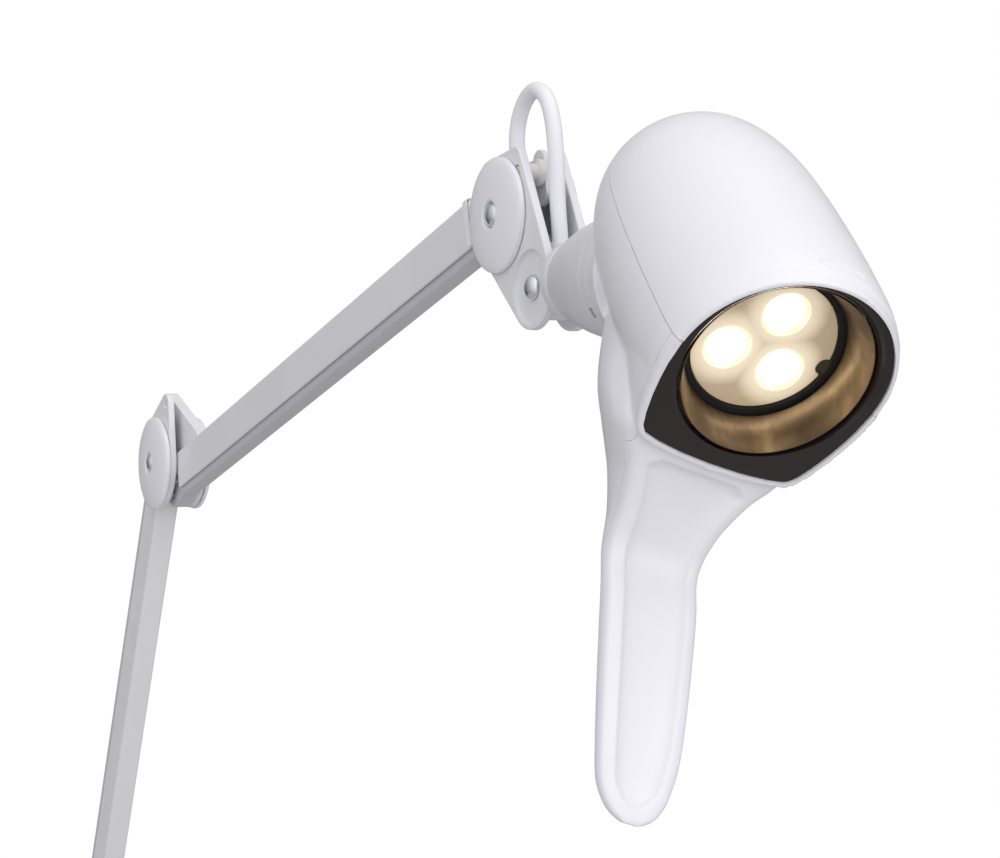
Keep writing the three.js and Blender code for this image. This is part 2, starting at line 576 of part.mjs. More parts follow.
function buildShells(head) {
  const depths = SPINE.map(([depth]) => depth);
  const insideDepths = depths.filter((depth) => depth < 170);
  const rearBoss = turnedX([[0, NECK.end + GAP * 2], [24.3, NECK.end + GAP * 2], [25.4, NECK.end + 2.4], [33, 92],
    [0, 92]], 32).translate(0, 0, NECK.rise);
  const can = cut(toSolid(canGeometry(0, -8)), beforeFace());
  const below = toSolid(halfSpace(-1));
  const above = toSolid(halfSpace(1));
  const lowerOutside = can.intersect(below)
    .add(toSolid(shieldBlock(2.5, -RIM, 6, 41.4, 55)).intersect(below))
    .add(toSolid(spineGeometry(0, depths, 3)).intersect(below))
    .add(toSolid(rearBoss).intersect(below));
  const faceHole = shieldBlock(GAP, -7, 9, 37, 40);
  const mouth = turnedZ([[0, -9], [BEZEL_RADIUS + GAP, -9], [BEZEL_RADIUS + GAP, 9], [0, 9]], 44)
    .applyMatrix4(lampFrame);
  const canInside = canGeometry(SHELL, 5);
  const spineInside = spineGeometry(SHELL, insideDepths, 2);
  const shaftHole = turnedX([[0, 60], [5.8, 60], [5.8, 100], [0, 100]], 16).translate(0, 0, NECK.rise);
  const neckRoom = turnedX([[0, 40], [27, 40], [27, NECK.end + GAP * 2], [0, NECK.end + GAP * 2]], 32)
    .translate(0, 0, NECK.rise);
  const shaftCavity = turnedX([[0, NECK.end + 3.2], [20, NECK.end + 3.2], [30, 92], [0, 92]], 32)
    .translate(0, 0, NECK.rise);

  const hollow = cut(lowerOutside, canInside, mouth, spineInside, faceHole, shaftHole, shaftCavity, neckRoom);
  const buttonHole = turnedX([[0, 80], [6.3, 80], [6.3, 104], [0, 104]], 24).translate(0, 0, BUTTON.z);
  const body = cut(hollow, partingBlock(GAP / 2), buttonHole);
  piece('body_shell', toGeometry(body), whitePlastic, head);

  const stops = [0, 0.015, 0.06, 0.15, 0.28, 0.5, 0.75, 0.92, 0.98, 1];
  const recess = loft(24, stops.length - 1, (angle, t, radius) => {
    const along = stops[Math.round(t * (stops.length - 1))];
    const depth = THREE.MathUtils.lerp(70.5, 180, along);
    const bow = Math.sqrt(Math.max(0.02, 1 - Math.abs(2 * along - 1) ** 20));
    const width = (spineAt(depth, 4) - 6.2) * bow;
    const x = spineAt(depth, 3) + 0.6 + 4 * Math.sin(angle) * radius * bow;
    return new THREE.Vector3(x, width * Math.cos(angle) * radius, -depth);
  });
  const front = cut(hollow.intersect(toSolid(partingBlock(-GAP / 2))), recess);
  piece('front_frame', toGeometry(front), whitePlastic, head);

  const hoodOutside = can.intersect(above).add(toSolid(rearBoss).intersect(above));
  const hood = cut(hoodOutside, canInside, mouth, shaftHole, shaftCavity, neckRoom);
  piece('hood_cover', toGeometry(hood), whitePlastic, head);
}

// ---------------------------------------------------------------- lamp: bezel, optics, heat sink
function buildLamp(head) {
  const face = new THREE.Shape();
  face.absarc(0, 0, BEZEL_RADIUS, Math.PI / 2, -Math.PI / 2, true);
  for (const [u, s] of shieldPoints(0).slice(1, -1).reverse()) face.lineTo(u, s);
  const facePlate = new THREE.ExtrudeGeometry(face, { depth: 3, bevelEnabled: false, curveSegments: 24 });
  const lip = turnedZ([[OPENING_RADIUS, -6], [OPENING_RADIUS + 3, -6], [OPENING_RADIUS + 3, 9],
    [OPENING_RADIUS, 9], [OPENING_RADIUS, -6]], 36).applyMatrix4(canFrame);
  const beforeLip = box(-80, 80, -80, 80, -60, 0.6).applyMatrix4(lampFrame);
  const opening = turnedZ([[0, -12], [OPENING_RADIUS + 6, -12], [OPENING_RADIUS + 6, -2.4],
    [OPENING_RADIUS + 1.7, -0.4], [OPENING_RADIUS + 0.7, 0.9], [OPENING_RADIUS, 3.2], [OPENING_RADIUS, 12],
    [0, 12]], 36).applyMatrix4(canFrame);
  const bezel = cut(cut(toSolid(lip), beforeLip).add(toSolid(facePlate.applyMatrix4(lampFrame))), opening);
  piece('bezel', toGeometry(bezel), blackPlastic, head);

  const lamp = new THREE.Group();
  lamp.applyMatrix4(canFrame.clone().multiply(new THREE.Matrix4().makeTranslation(0.6, 0, 0)));
  head.add(lamp);
  const inner = LENS.ringRadius;
  const out = OPENING_RADIUS - GAP * 3;
  piece('reflector', turnedZ([[out, 5], [out - 1.2, 5], [inner + 1.8, 10], [inner + 0.3, LENS.depth - 2],
    [inner + 1.5, LENS.depth - 2], [out - 1.4, 10.5], [out, 5]], 36), bronzeReflector, lamp);
  piece('lens_ring', turnedZ([[LENS.radius + GAP, LENS.depth - 1.5], [inner - 0.2, LENS.depth - 1.5],
    [inner - 0.2, LENS.depth - 0.6], [inner + 3, LENS.depth - 0.6], [inner + 3, LENS.depth + 5],
    [LENS.radius + GAP, LENS.depth + 5], [LENS.radius + GAP, LENS.depth - 1.5]], 36), blackHousing, lamp);

  const cups = [];
  const spots = [2, 122, 242]
    .map((a) => [LENS.cupSpacing * Math.cos(rad(a)), LENS.cupSpacing * Math.sin(rad(a))]);
  const back = LENS.depth + LENS.thickness;
  for (const [u, s] of spots) {
    cups.push(turnedZ([[0, back - 0.5], [9.4, back - 0.5], [8.2, back + 4], [4.4, back + 9], [0, back + 9]], 16)
      .translate(u, s, 0));
  }
  const disc = turnedZ([[0, LENS.depth], [LENS.radius, LENS.depth], [LENS.radius, back], [0, back]], 36);
  const notch = new THREE.CylinderGeometry(3.4, 3.4, 8, 20)
    .rotateX(Math.PI / 2).translate(0, LENS.radius, LENS.depth);
  piece('lens_plate', toGeometry(cut(join(disc, ...cups), notch)), clearLens, lamp);

  const boardFace = back + 11;
  spots.forEach(([u, s], i) => {
    const chip = turnedZ([[0, boardFace - 1.6], [1.4, boardFace - 1.4], [1.9, boardFace - 0.3], [0, boardFace - 0.3]], 10);
    piece(`led_${i + 1}`, chip.translate(u, s, 0), ledYellow, lamp);
  });
  piece('led_board', turnedZ([[0, boardFace], [24, boardFace], [24, boardFace + 1.6], [0, boardFace + 1.6]], 40),
    boardWhite, lamp);

  const sinkFace = boardFace + 1.6 + GAP;
  const fins = [-22, -16.5, -11, -5.5, 0, 5.5, 11, 16.5, 22].map((s) => {
    const reach = Math.sqrt(27 ** 2 - s ** 2);
    return box(-reach, reach, s - 0.8, s + 0.8, sinkFace + 4, sinkFace + 34);
  });
  const base = turnedZ([[0, sinkFace], [29, sinkFace], [29, sinkFace + 5], [0, sinkFace + 5]], 40);
  piece('heat_sink', toGeometry(join(base, ...fins)), aluminium, lamp);
}

// ---------------------------------------------------------------- power button, behind the handle root
const BUTTON = { z: -56, rear: 88.4 };

function buildButton(head) {
  const { rear } = BUTTON;
  const profile = [
    [0, rear - 1.4], [4.4, rear - 1.2], [5.8, rear], [5.8, rear + 11], [8, rear + 11],
    [8, rear + 12.4], [0, rear + 12.4],
  ];
  piece('power_button', turnedX(profile, 24).translate(0, 0, BUTTON.z), greyButton, head);
}

// ---------------------------------------------------------------- cable loop from the arm to the neck
function buildCable() {
  const fork = groupAt(root, forkPivot.x, forkPivot.y);
  const end = new THREE.Vector2(CABLE_END.x, CABLE_END.z).rotateAround(new THREE.Vector2(), -rad(HEAD_DIP));
  const [ex, ez] = [TILT_OFFSET.x + end.x, TILT_OFFSET.z + end.y];
  const route = [[-1, 0, 11.5], [-2.3, 0, 20], [-5.6, 0, 29], [-4.2, 0, 38.5], [2, 0, 46.3], [11, 0, 49.2],
    [19.8, 0, 44.8], [25.4, 0, 34.5], [28.2, 0, 20], [29.5, 0, 4], [ex, 0, ez + 6], [ex, 0, ez]];
  const curve = new THREE.CatmullRomCurve3(route.map(([x, y, z]) => new THREE.Vector3(x, y, z)));
  const ring = new THREE.Shape();
  ring.absarc(0, 0, CABLE_RADIUS, 0, 2 * Math.PI, false);
  const settings = { extrudePath: curve, steps: 15, bevelEnabled: false, curveSegments: 5 };
  const tube = new THREE.ExtrudeGeometry(ring, settings);
  piece('cable_loop', tube, cableWhite, fork);
}

buildBase();
buildLowerArm();
buildElbow();
buildUpperArm();
buildFork();
buildNeck();
const head = groupAt(root, tiltPivot.x, tiltPivot.y, -rad(HEAD_DIP));
// The head turns on the neck's own axis, which is a little above the tilt hinge.
const swivel = new THREE.Group();
swivel.position.z = NECK.rise;
swivel.rotation.x = -rad(HEAD_SWIVEL);
head.add(swivel);
const lampHead = groupAt(swivel, 0, -NECK.rise);
buildShells(lampHead);
buildLamp(lampHead);
buildButton(lampHead);
buildCable();

export default root;
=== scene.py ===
# Looks of the examination light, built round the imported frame. Metres, +Z up, +X towards the lamp head.
import json
import math

import bmesh
import bpy
import numpy as np
from mathutils import Matrix, Vector, geometry


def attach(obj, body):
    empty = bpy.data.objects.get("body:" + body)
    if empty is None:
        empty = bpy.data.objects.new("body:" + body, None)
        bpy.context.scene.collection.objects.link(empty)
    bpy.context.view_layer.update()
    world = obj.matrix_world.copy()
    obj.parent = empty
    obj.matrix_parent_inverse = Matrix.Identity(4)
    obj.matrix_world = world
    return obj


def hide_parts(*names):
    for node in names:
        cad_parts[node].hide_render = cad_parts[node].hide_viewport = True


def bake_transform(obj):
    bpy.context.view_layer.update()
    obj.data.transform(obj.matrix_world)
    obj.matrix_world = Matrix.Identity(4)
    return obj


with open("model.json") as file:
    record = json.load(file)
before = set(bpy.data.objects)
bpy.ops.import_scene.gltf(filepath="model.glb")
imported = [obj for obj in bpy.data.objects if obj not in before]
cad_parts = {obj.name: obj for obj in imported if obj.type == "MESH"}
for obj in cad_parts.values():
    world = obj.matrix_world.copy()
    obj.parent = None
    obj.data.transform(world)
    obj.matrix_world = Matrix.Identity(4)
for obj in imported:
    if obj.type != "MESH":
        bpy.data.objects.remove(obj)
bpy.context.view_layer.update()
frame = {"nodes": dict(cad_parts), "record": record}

MM = 0.001
JOINTS = {j["name"]: j for j in frame["record"]["behaviour"]["joints"]}
BODY_OF = {n: b for b, names in frame["record"]["behaviour"]["bodies"].items() for n in names}
SLOT_OF = {s["node"]: s["material_slot"] for s in frame["record"]["subparts"]}


def pivot(joint):
    return Vector(JOINTS[joint]["pos_m"]) / MM


# ------------------------------------------------------------------ places, in mm
BASE_PIVOT = pivot("lower_arm_lean")
ELBOW_PIVOT = pivot("upper_arm_rise")
LINK_PIVOT = pivot("fork_level")
TILT_PIVOT = pivot("head_tilt")
LOWER_LINK = Vector((-24, 0, 8))
UPPER_LINK = Vector((12, 0, -17.5))
FORK_PIVOT = LINK_PIVOT + UPPER_LINK
ARM_LENGTH = 435
CHEEK_IN, CHEEK_OUT = 7.0, 10.5
GAP = 0.3
NECK_RISE = 2.2
FACE_MIDDLE = Vector((178.2, 0, -36.6))
FACE_ANGLE, CAN_LEAN = 42, 5.2
HEAD_SWIVEL = 17.3


def at(point, turn_y=0.0):
    return Matrix.Translation(point) @ Matrix.Rotation(math.radians(turn_y), 4, "Y")


LOWER_LEAN = math.degrees(math.atan2((ELBOW_PIVOT - BASE_PIVOT).x, (ELBOW_PIVOT - BASE_PIVOT).z))
UPPER_RISE = math.degrees(math.atan2((LINK_PIVOT - ELBOW_PIVOT).z, (LINK_PIVOT - ELBOW_PIVOT).x))
neck_axis = Vector(JOINTS["head_turn"]["axis"])
HEAD_DIP = -math.degrees(math.asin(neck_axis.z))

ELBOW = at(ELBOW_PIVOT)
FORK = at(FORK_PIVOT)
UPPER = at(ELBOW_PIVOT, -UPPER_RISE)
LOWER = at(BASE_PIVOT, LOWER_LEAN - 90) @ Matrix.Rotation(math.pi, 4, "X")
NECK = at(TILT_PIVOT, HEAD_DIP)
TO_NECK_AXIS = Matrix.Translation((0, 0, NECK_RISE))
HEAD = NECK @ TO_NECK_AXIS @ Matrix.Rotation(-math.radians(HEAD_SWIVEL), 4, "X") @ TO_NECK_AXIS.inverted()
FACE = HEAD @ at(FACE_MIDDLE, FACE_ANGLE - 90)
CAN = FACE @ Matrix.Rotation(-math.radians(CAN_LEAN), 4, "Y")
OPTICS = CAN @ Matrix.Translation((0.6, 0, 0))
BUTTON = HEAD @ Matrix.Translation((0, 0, -56))
SWIVEL = HEAD @ TO_NECK_AXIS


# ------------------------------------------------------------------ materials
class Nodes:
    """A short way to write a material's node tree."""

    def __init__(self, name):
        self.material = bpy.data.materials.new(name)
        self.material.use_nodes = True
        self.tree = self.material.node_tree
        self.shader = self.tree.nodes["Principled BSDF"]
        self.position = self.add("ShaderNodeTexCoord").outputs["Object"]

    def add(self, kind, **values):
        node = self.tree.nodes.new(kind)
        for key, value in values.items():
            if hasattr(node, key):
                setattr(node, key, value)
            else:
                node.inputs[key.replace("_", " ")].default_value = value
        return node

    def link(self, a, b):
        self.tree.links.new(a, b)

    def noise(self, scale, detail=3.0, roughness=0.55, stretch=None):
        node = self.add("ShaderNodeTexNoise", Scale=scale, Detail=detail, Roughness=roughness)
        source = self.position
        if stretch:
            mapping = self.add("ShaderNodeMapping")
            mapping.inputs["Scale"].default_value = stretch
            self.link(source, mapping.inputs["Vector"])
            source = mapping.outputs["Vector"]
        self.link(source, node.inputs["Vector"])
        return node.outputs["Fac"]

    def ramp(self, value, stops):
        node = self.add("ShaderNodeValToRGB")
        while len(node.color_ramp.elements) < len(stops):
            node.color_ramp.elements.new(0.5)
        for element, (place, colour) in zip(node.color_ramp.elements, stops):
            element.position = place
            element.color = (*colour, 1)
        self.link(value, node.inputs["Fac"])
        return node.outputs["Color"]

    def spread(self, value, low, high):
        node = self.add("ShaderNodeMapRange", From_Min=0.3, From_Max=0.7, To_Min=low, To_Max=high)
        self.link(value, node.inputs["Value"])
        return node.outputs["Result"]

    def bump(self, height, distance, strength=1.0, before=None):
        node = self.add("ShaderNodeBump", Strength=strength, Distance=distance)
        self.link(height, node.inputs["Height"])
        if before is not None:
            self.link(before, node.inputs["Normal"])
        return node.outputs["Normal"]

    def set(self, **values):
        for key, value in values.items():
            socket = self.shader.inputs[key.replace("_", " ")]
            if isinstance(value, bpy.types.NodeSocket):
                self.link(value, socket)
            else:
                socket.default_value = (*value, 1) if isinstance(value, tuple) and len(value) == 3 else value
        return self.material


def shade(colour, factor):
    return tuple(min(1.0, c * factor) for c in colour)


def moulded(name, colour, rough, grain, depth, coat=0.0, dirt=0.97):
    """Moulded or painted surface: faint cloudy colour, uneven gloss and a fine grain."""
    n = Nodes(name)
    cloud = n.noise(22, 4)
    tint = n.ramp(cloud, [(0.3, shade(colour, dirt)), (0.7, colour)])
    rub = n.spread(n.noise(55, 5, 0.65), rough * 0.82, rough * 1.2)
    soft = n.bump(n.noise(grain * 0.22, 2), depth * 2.2, 0.35)
    fine = n.bump(n.noise(grain, 3, 0.6), depth, 0.6, soft)
    return n.set(Base_Color=tint, Roughness=rub, Normal=fine, Coat_Weight=coat, Coat_Roughness=0.18,
                 Specular_IOR_Level=0.45)


def metal(name, colour, rough, scale, stretch, depth, spots):
    """Metal with a grain that stretch can draw out along an axis, and cloudy oxide as dark as spots."""
    n = Nodes(name)
    grain = n.noise(scale, 4, 0.6, stretch)
    cloud = n.noise(160, 5, 0.6)
    tint = n.ramp(cloud, [(0.35, shade(colour, 1 - spots)), (0.65, colour)])
    rub = n.spread(grain, rough * 0.7, rough * 1.35)
    return n.set(Base_Color=tint, Metallic=1.0, Roughness=rub, Normal=n.bump(grain, depth, 0.4))


def make_materials():
    m = {
        "white_paint": moulded("white_paint", (0.79, 0.79, 0.825), 0.40, 2600, 0.00002, 0.12),
        # Darker copy of the white paint for the ties inside the arms: painted shade, standing in for the
        # shadow under the outer channel.
        "shaded_tie_paint": moulded("shaded_tie_paint", (0.57, 0.57, 0.61), 0.46, 2600, 0.00002, 0.06),
        "white_plastic": moulded("white_plastic", (0.855, 0.85, 0.895), 0.36, 3400, 0.000012, 0.10, 0.985),
        # Neck shroud plastic, greyer than the white parts: painted shade for the shadow that falls on the
        # neck from above.
        "neck_plastic": moulded("neck_plastic", (0.70, 0.70, 0.725), 0.42, 2600, 0.00002, 0.05),
        "nylon": moulded("nylon", (0.83, 0.82, 0.77), 0.5, 1500, 0.00002),
        "black_gloss": moulded("black_gloss", (0.018, 0.011, 0.011), 0.24, 2600, 0.000004, 0.0, 0.85),
        "black_matte": moulded("black_matte", (0.012, 0.012, 0.012), 0.6, 1500, 0.00002, 0.0, 0.8),
        "board_white": moulded("board_white", (0.80, 0.81, 0.78), 0.5, 900, 0.00001),
        "cable_white": moulded("cable_white", (0.86, 0.86, 0.90), 0.42, 1800, 0.00002, 0.1),
        "button_grey": moulded("button_grey", (0.16, 0.17, 0.19), 0.5, 2200, 0.00003),
        "chrome": metal("chrome", (0.76, 0.79, 0.86), 0.2, 900, (1, 1, 1), 0.000004, 0.06),
        "zinc_steel": metal("zinc_steel", (0.46, 0.50, 0.57), 0.36, 700, (1, 3, 0.4), 0.00001, 0.35),
        "spring_steel": metal("spring_steel", (0.30, 0.31, 0.33), 0.34, 900, (1, 1, 1), 0.00001, 0.3),
        "cast_aluminium": metal("cast_aluminium", (0.68, 0.69, 0.70), 0.42, 500, (1, 1, 1), 0.00004, 0.12),
    }
    n = Nodes("bronze_reflector")
    # The bell's colour runs in stretched bands from dark to bright: painted reflection streaks over the
    # bronze tint.
    sweep = n.noise(34, 4, 0.6, (1, 1, 0.35))
    dark, middle, bright = (0.07, 0.043, 0.022), (0.15, 0.096, 0.048), (0.36, 0.245, 0.125)
    tint = n.ramp(sweep, [(0.34, dark), (0.5, middle), (0.66, bright)])
    rub = n.spread(n.noise(140, 4), 0.3, 0.42)
    m["bronze_reflector"] = n.set(Base_Color=tint, Metallic=0.6, Roughness=rub,
                                  Normal=n.bump(n.noise(90, 2), 0.0001, 0.25))
    n = Nodes("clear_lens")
    m["clear_lens"] = n.set(Base_Color=(0.98, 0.95, 0.88), Roughness=n.spread(n.noise(220, 3), 0.02, 0.07),
                            IOR=1.49, Transmission_Weight=1.0, Normal=n.bump(n.noise(300, 2), 0.00001, 0.2))
    n = Nodes("led_emitter")
    glow = n.ramp(n.noise(2500, 2), [(0.3, (1.0, 0.80, 0.45)), (0.7, (1.0, 0.90, 0.66))])
    m["led_emitter"] = n.set(Base_Color=glow, Roughness=0.4, Emission_Color=glow, Emission_Strength=60.0)
    return m


MATERIALS = make_materials()


# ------------------------------------------------------------------ making meshes
def new_piece(name, verts, faces, place, material, nodes=(), body=None, slot=None, sharp=32, weighted=True):
    """A piece from points in mm, moved to its place, with its body and the CAD nodes it stands for. Its slot
    argument is not used.
    """
    mesh = bpy.data.meshes.new(name)
    mesh.from_pydata([(place @ Vector(v)) * MM for v in verts], [], faces)
    return dress(name, mesh, material, nodes, body, sharp, weighted)


def clean(mesh):
    """Joins doubled points and turns every face outwards."""
    bm = bmesh.new()
    bm.from_mesh(mesh)
    bmesh.ops.remove_doubles(bm, verts=bm.verts, dist=1e-6)
    bmesh.ops.recalc_face_normals(bm, faces=bm.faces)
    bm.to_mesh(mesh)
    bm.free()


def smooth(obj, sharp, weighted=True):
    """Smooth shading, broken at edges over an angle in degrees. With 0 no edge is broken."""
    obj.data.shade_smooth()
    if sharp:
        obj.data.set_sharp_from_angle(angle=math.radians(sharp))
    if weighted:
        obj.modifiers.new("even shading", "WEIGHTED_NORMAL").keep_sharp = True


def dress(name, mesh, material, nodes=(), body=None, sharp=32, weighted=True):
    """A piece from a mesh that is in place already."""
    clean(mesh)
    obj = bpy.data.objects.new(name, mesh)
    bpy.context.scene.collection.objects.link(obj)
    mesh.materials.clear()
    mesh.materials.append(MATERIALS[material])
    smooth(obj, sharp, weighted)
    nodes = [nodes] if isinstance(nodes, str) else list(nodes)
    if nodes:
        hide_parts(*nodes)
    if body != "blended":
        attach(obj, body or BODY_OF[nodes[0]])
    return obj


def circle(x, z, r, steps):
    return [(x + r * math.cos(2 * math.pi * k / steps), z + r * math.sin(2 * math.pi * k / steps))
            for k in range(steps)]


def corner(a, b, c, radius, steps):
    """Points of a curve that rounds the corner b between a and c."""
    a, b, c = Vector(a), Vector(b), Vector(c)
    start, end = b + (a - b).normalized() * radius, b + (c - b).normalized() * radius
    stops = [k / steps for k in range(steps + 1)]
    return [tuple((1 - t) ** 2 * start + 2 * t * (1 - t) * b + t * t * end) for t in stops]


def rounded(profile, radius, steps=4):
    """A (radius, height) profile with its corners rounded, except its ends and those on the axis."""
    out = [profile[0]]
    for a, b, c in zip(profile, profile[1:], profile[2:]):
        fits = min(radius, math.dist(a, b) * 0.45, math.dist(b, c) * 0.45)
        out += corner(a, b, c, fits, steps) if b[0] > ON_AXIS else [b]
    return out + [profile[-1]]


ON_AXIS = 1e-6
TURNED = {
    "X": lambda x, y, z: (z, x, y),
    "Y": lambda x, y, z: (y, z, x),
    "Z": lambda x, y, z: (x, y, z),
}


def lathe(profile, axis, segments, closed=False):
    """Verts and faces of a turned piece from (radius, height) points, on axis X, Y or Z."""
    verts, faces, rings = [], [], []
    for r, h in profile:
        if r <= ON_AXIS:
            rings.append([len(verts)] * segments)
            verts.append((0, 0, h))
        else:
            rings.append(range(len(verts), len(verts) + segments))
            verts += [(x, y, h) for x, y in circle(0, 0, r, segments)]
    pairs = list(zip(rings, rings[1:]))
    if closed:
        pairs.append((rings[-1], rings[0]))
    for a, b in pairs:
        for k in range(segments):
            n = (k + 1) % segments
            face = [a[k], a[n], b[n], b[k]]
            face = [v for i, v in enumerate(face) if v not in face[:i]]
            if len(face) > 2:
                faces.append(face)
    return [TURNED[axis](*v) for v in verts], faces


def rod(radius, start, end, axis, segments):
    """A plain cylinder on an axis."""
    return lathe([(0, start), (radius, start), (radius, end), (0, end)], axis, segments)


def hull(circles):
    """Outline round circles (x, z, radius), anticlockwise."""
    points = [Vector(p) for c in circles for p in circle(*c, 96)]
    return [tuple(points[i]) for i in geometry.convex_hull_2d(points)]


def inset(loop, d, hole=False):
    """The outline moved into the material by d."""
    out = []
    count = len(loop)
    for i, p in enumerate(loop):
        a, b = Vector(loop[i - 1]), Vector(loop[(i + 1) % count])
        t = (b - a).normalized()
        n = Vector((-t.y, t.x)) * (-1 if hole else 1)
        out.append((p[0] + n.x * d, p[1] + n.y * d))
    return out


def plate(outline, holes, y0, y1, edge=0.6, steps=3):
    """Flat plate in the XZ plane from y0 to y1 with rounded edges. Holes are anticlockwise loops too."""
    loops = [(outline, False)] + [(h, True) for h in holes]
    verts, faces, caps = [], [], ([], [])
    levels = [(0, y0)]
    if edge:
        turns = [k / steps * math.pi / 2 for k in range(steps + 1)]
        levels = [(edge * (1 - math.sin(a)), y0 + edge * (1 - math.cos(a))) for a in turns]
    levels += [(d, y0 + y1 - y) for d, y in reversed(levels)]
    for loop, hole in loops:
        first = len(verts)
        count = len(loop)
        for d, y in levels:
            verts += [(x, y, z) for x, z in inset(loop, d, hole)]
        for r in range(len(levels) - 1):
            for k in range(count):
                n = (k + 1) % count
                a, b = first + r * count, first + (r + 1) * count
                faces.append([a + k, a + n, b + n, b + k])
        caps[0].append(list(range(first, first + count)))
        caps[1].append(list(range(first + (len(levels) - 1) * count, first + len(levels) * count)))
    for rings in caps:
        flat = [[Vector((verts[i][0], verts[i][2], 0)) for i in ring] for ring in rings]
        index = [i for ring in rings for i in ring]
        faces += [[index[i] for i in tri] for tri in geometry.tessellate_polygon(flat)]
    return verts, faces


def box(x0, x1, y0, y1, z0, z1, edge=0.5):
    corners = [(x0, z0), (x1, z0), (x1, z1), (x0, z1)]
    outline = []
    for i, p in enumerate(corners):
        outline += corner(corners[i - 1], p, corners[(i + 1) % 4], edge, 3)
    return plate(outline, [], y0, y1, edge * 0.7, 2)


def swept(section, x0, x1, stations):
    """A closed (y, z) section carried along +X."""
    verts, faces = [], []
    count = len(section)
    for s in range(stations):
        x = x0 + (x1 - x0) * s / (stations - 1)
        verts += [(x, y, z) for y, z in section]
    for s in range(stations - 1):
        for k in range(count):
            n = (k + 1) % count
            faces.append([s * count + k, s * count + n, (s + 1) * count + n, (s + 1) * count + k])
    for ring in (range(count), range((stations - 1) * count, stations * count)):
        flat = [[Vector((verts[i][1], verts[i][2], 0)) for i in ring]]
        faces += [[list(ring)[i] for i in tri] for tri in geometry.tessellate_polygon(flat)]
    return verts, faces


def scratch(part, place):
    """A working solid for cutting and joining, which is used up or becomes a piece later."""
    mesh = bpy.data.meshes.new("scratch")
    mesh.from_pydata([(place @ Vector(v)) * MM for v in part[0]], [], part[1])
    clean(mesh)
    obj = bpy.data.objects.new("scratch", mesh)
    bpy.context.scene.collection.objects.link(obj)
    return obj


def piece_from(solid, name, material, node, sharp, weighted=True):
    """Turns a working solid into a piece."""
    mesh = solid.data
    bpy.data.objects.remove(solid)
    return dress(name, mesh, material, node, sharp=sharp, weighted=weighted)


def apply_modifiers(obj):
    bpy.context.view_layer.update()
    result = bpy.data.meshes.new_from_object(obj.evaluated_get(bpy.context.evaluated_depsgraph_get()))
    old = obj.data
    obj.modifiers.clear()
    obj.data = result
    bpy.data.meshes.remove(old)


def boolean(obj, tool, operation):
    """Joins or cuts obj with a working solid, and deletes the tool."""
    step = obj.modifiers.new("step", "BOOLEAN")
    step.operation = operation
    step.solver = "MANIFOLD"
    step.object = tool
    apply_modifiers(obj)
    mesh = tool.data
    bpy.data.objects.remove(tool)
    bpy.data.meshes.remove(mesh)


def remesh(obj, voxel, smoothing):
    """Turns a union of solids into one even skin and rounds its inner and outer corners."""
    even = obj.modifiers.new("skin", "REMESH")
    even.mode = "VOXEL"
    even.voxel_size = voxel * MM
    soft = obj.modifiers.new("soft", "SMOOTH")
    soft.factor = 0.5
    soft.iterations = smoothing
    apply_modifiers(obj)


def copy_of(obj):
    twin = obj.copy()
    twin.data = obj.data.copy()
    bpy.context.scene.collection.objects.link(twin)
    return twin


def softened(node, width, segments=2, material=None):
    """A CAD node's own shape with its corners taken off, as a new piece."""
    mesh = frame["nodes"][node].data.copy()
    bm = bmesh.new()
    bm.from_mesh(mesh)
    bmesh.ops.remove_doubles(bm, verts=bm.verts, dist=2e-6)
    bmesh.ops.dissolve_limit(bm, angle_limit=math.radians(1.5), verts=bm.verts, edges=bm.edges)
    bm.to_mesh(mesh)
    bm.free()
    piece = dress(node + "_body", mesh, material or SLOT_OF[node], node, weighted=False)
    edge = piece.modifiers.new("edges", "BEVEL")
    edge.width = width * MM
    edge.segments = segments
    edge.limit_method = "ANGLE"
    edge.angle_limit = math.radians(30)
    edge.harden_normals = False
    piece.modifiers.new("even shading", "WEIGHTED_NORMAL").keep_sharp = False


# ------------------------------------------------------------------ camera, light and floor
def make_camera():
    data = bpy.data.cameras.new("camera")
    cam = bpy.data.objects.new("camera", data)
    bpy.context.scene.collection.objects.link(cam)
    data.sensor_width = 36
    data.lens = 85.6
    data.clip_start, data.clip_end = 0.05, 30
    azimuth, pitch, roll = (math.radians(a) for a in CAMERA_ANGLES)
    level = math.cos(pitch)
    back = Vector((math.sin(azimuth) * level, -math.cos(azimuth) * level, math.sin(pitch)))
    cam.rotation_mode = "QUATERNION"
    cam.rotation_quaternion = (-back).to_track_quat("-Z", "Y")
    cam.rotation_quaternion @= Matrix.Rotation(roll, 3, "Z").to_quaternion()
    cam.location = (FORK_PIVOT + CAMERA_FROM_FORK) * MM
    bpy.context.scene.camera = cam


CAMERA_ANGLES = (63.56, -0.22, 0.21)
CAMERA_FROM_FORK = Vector((845.9, -430.6, -88.5))


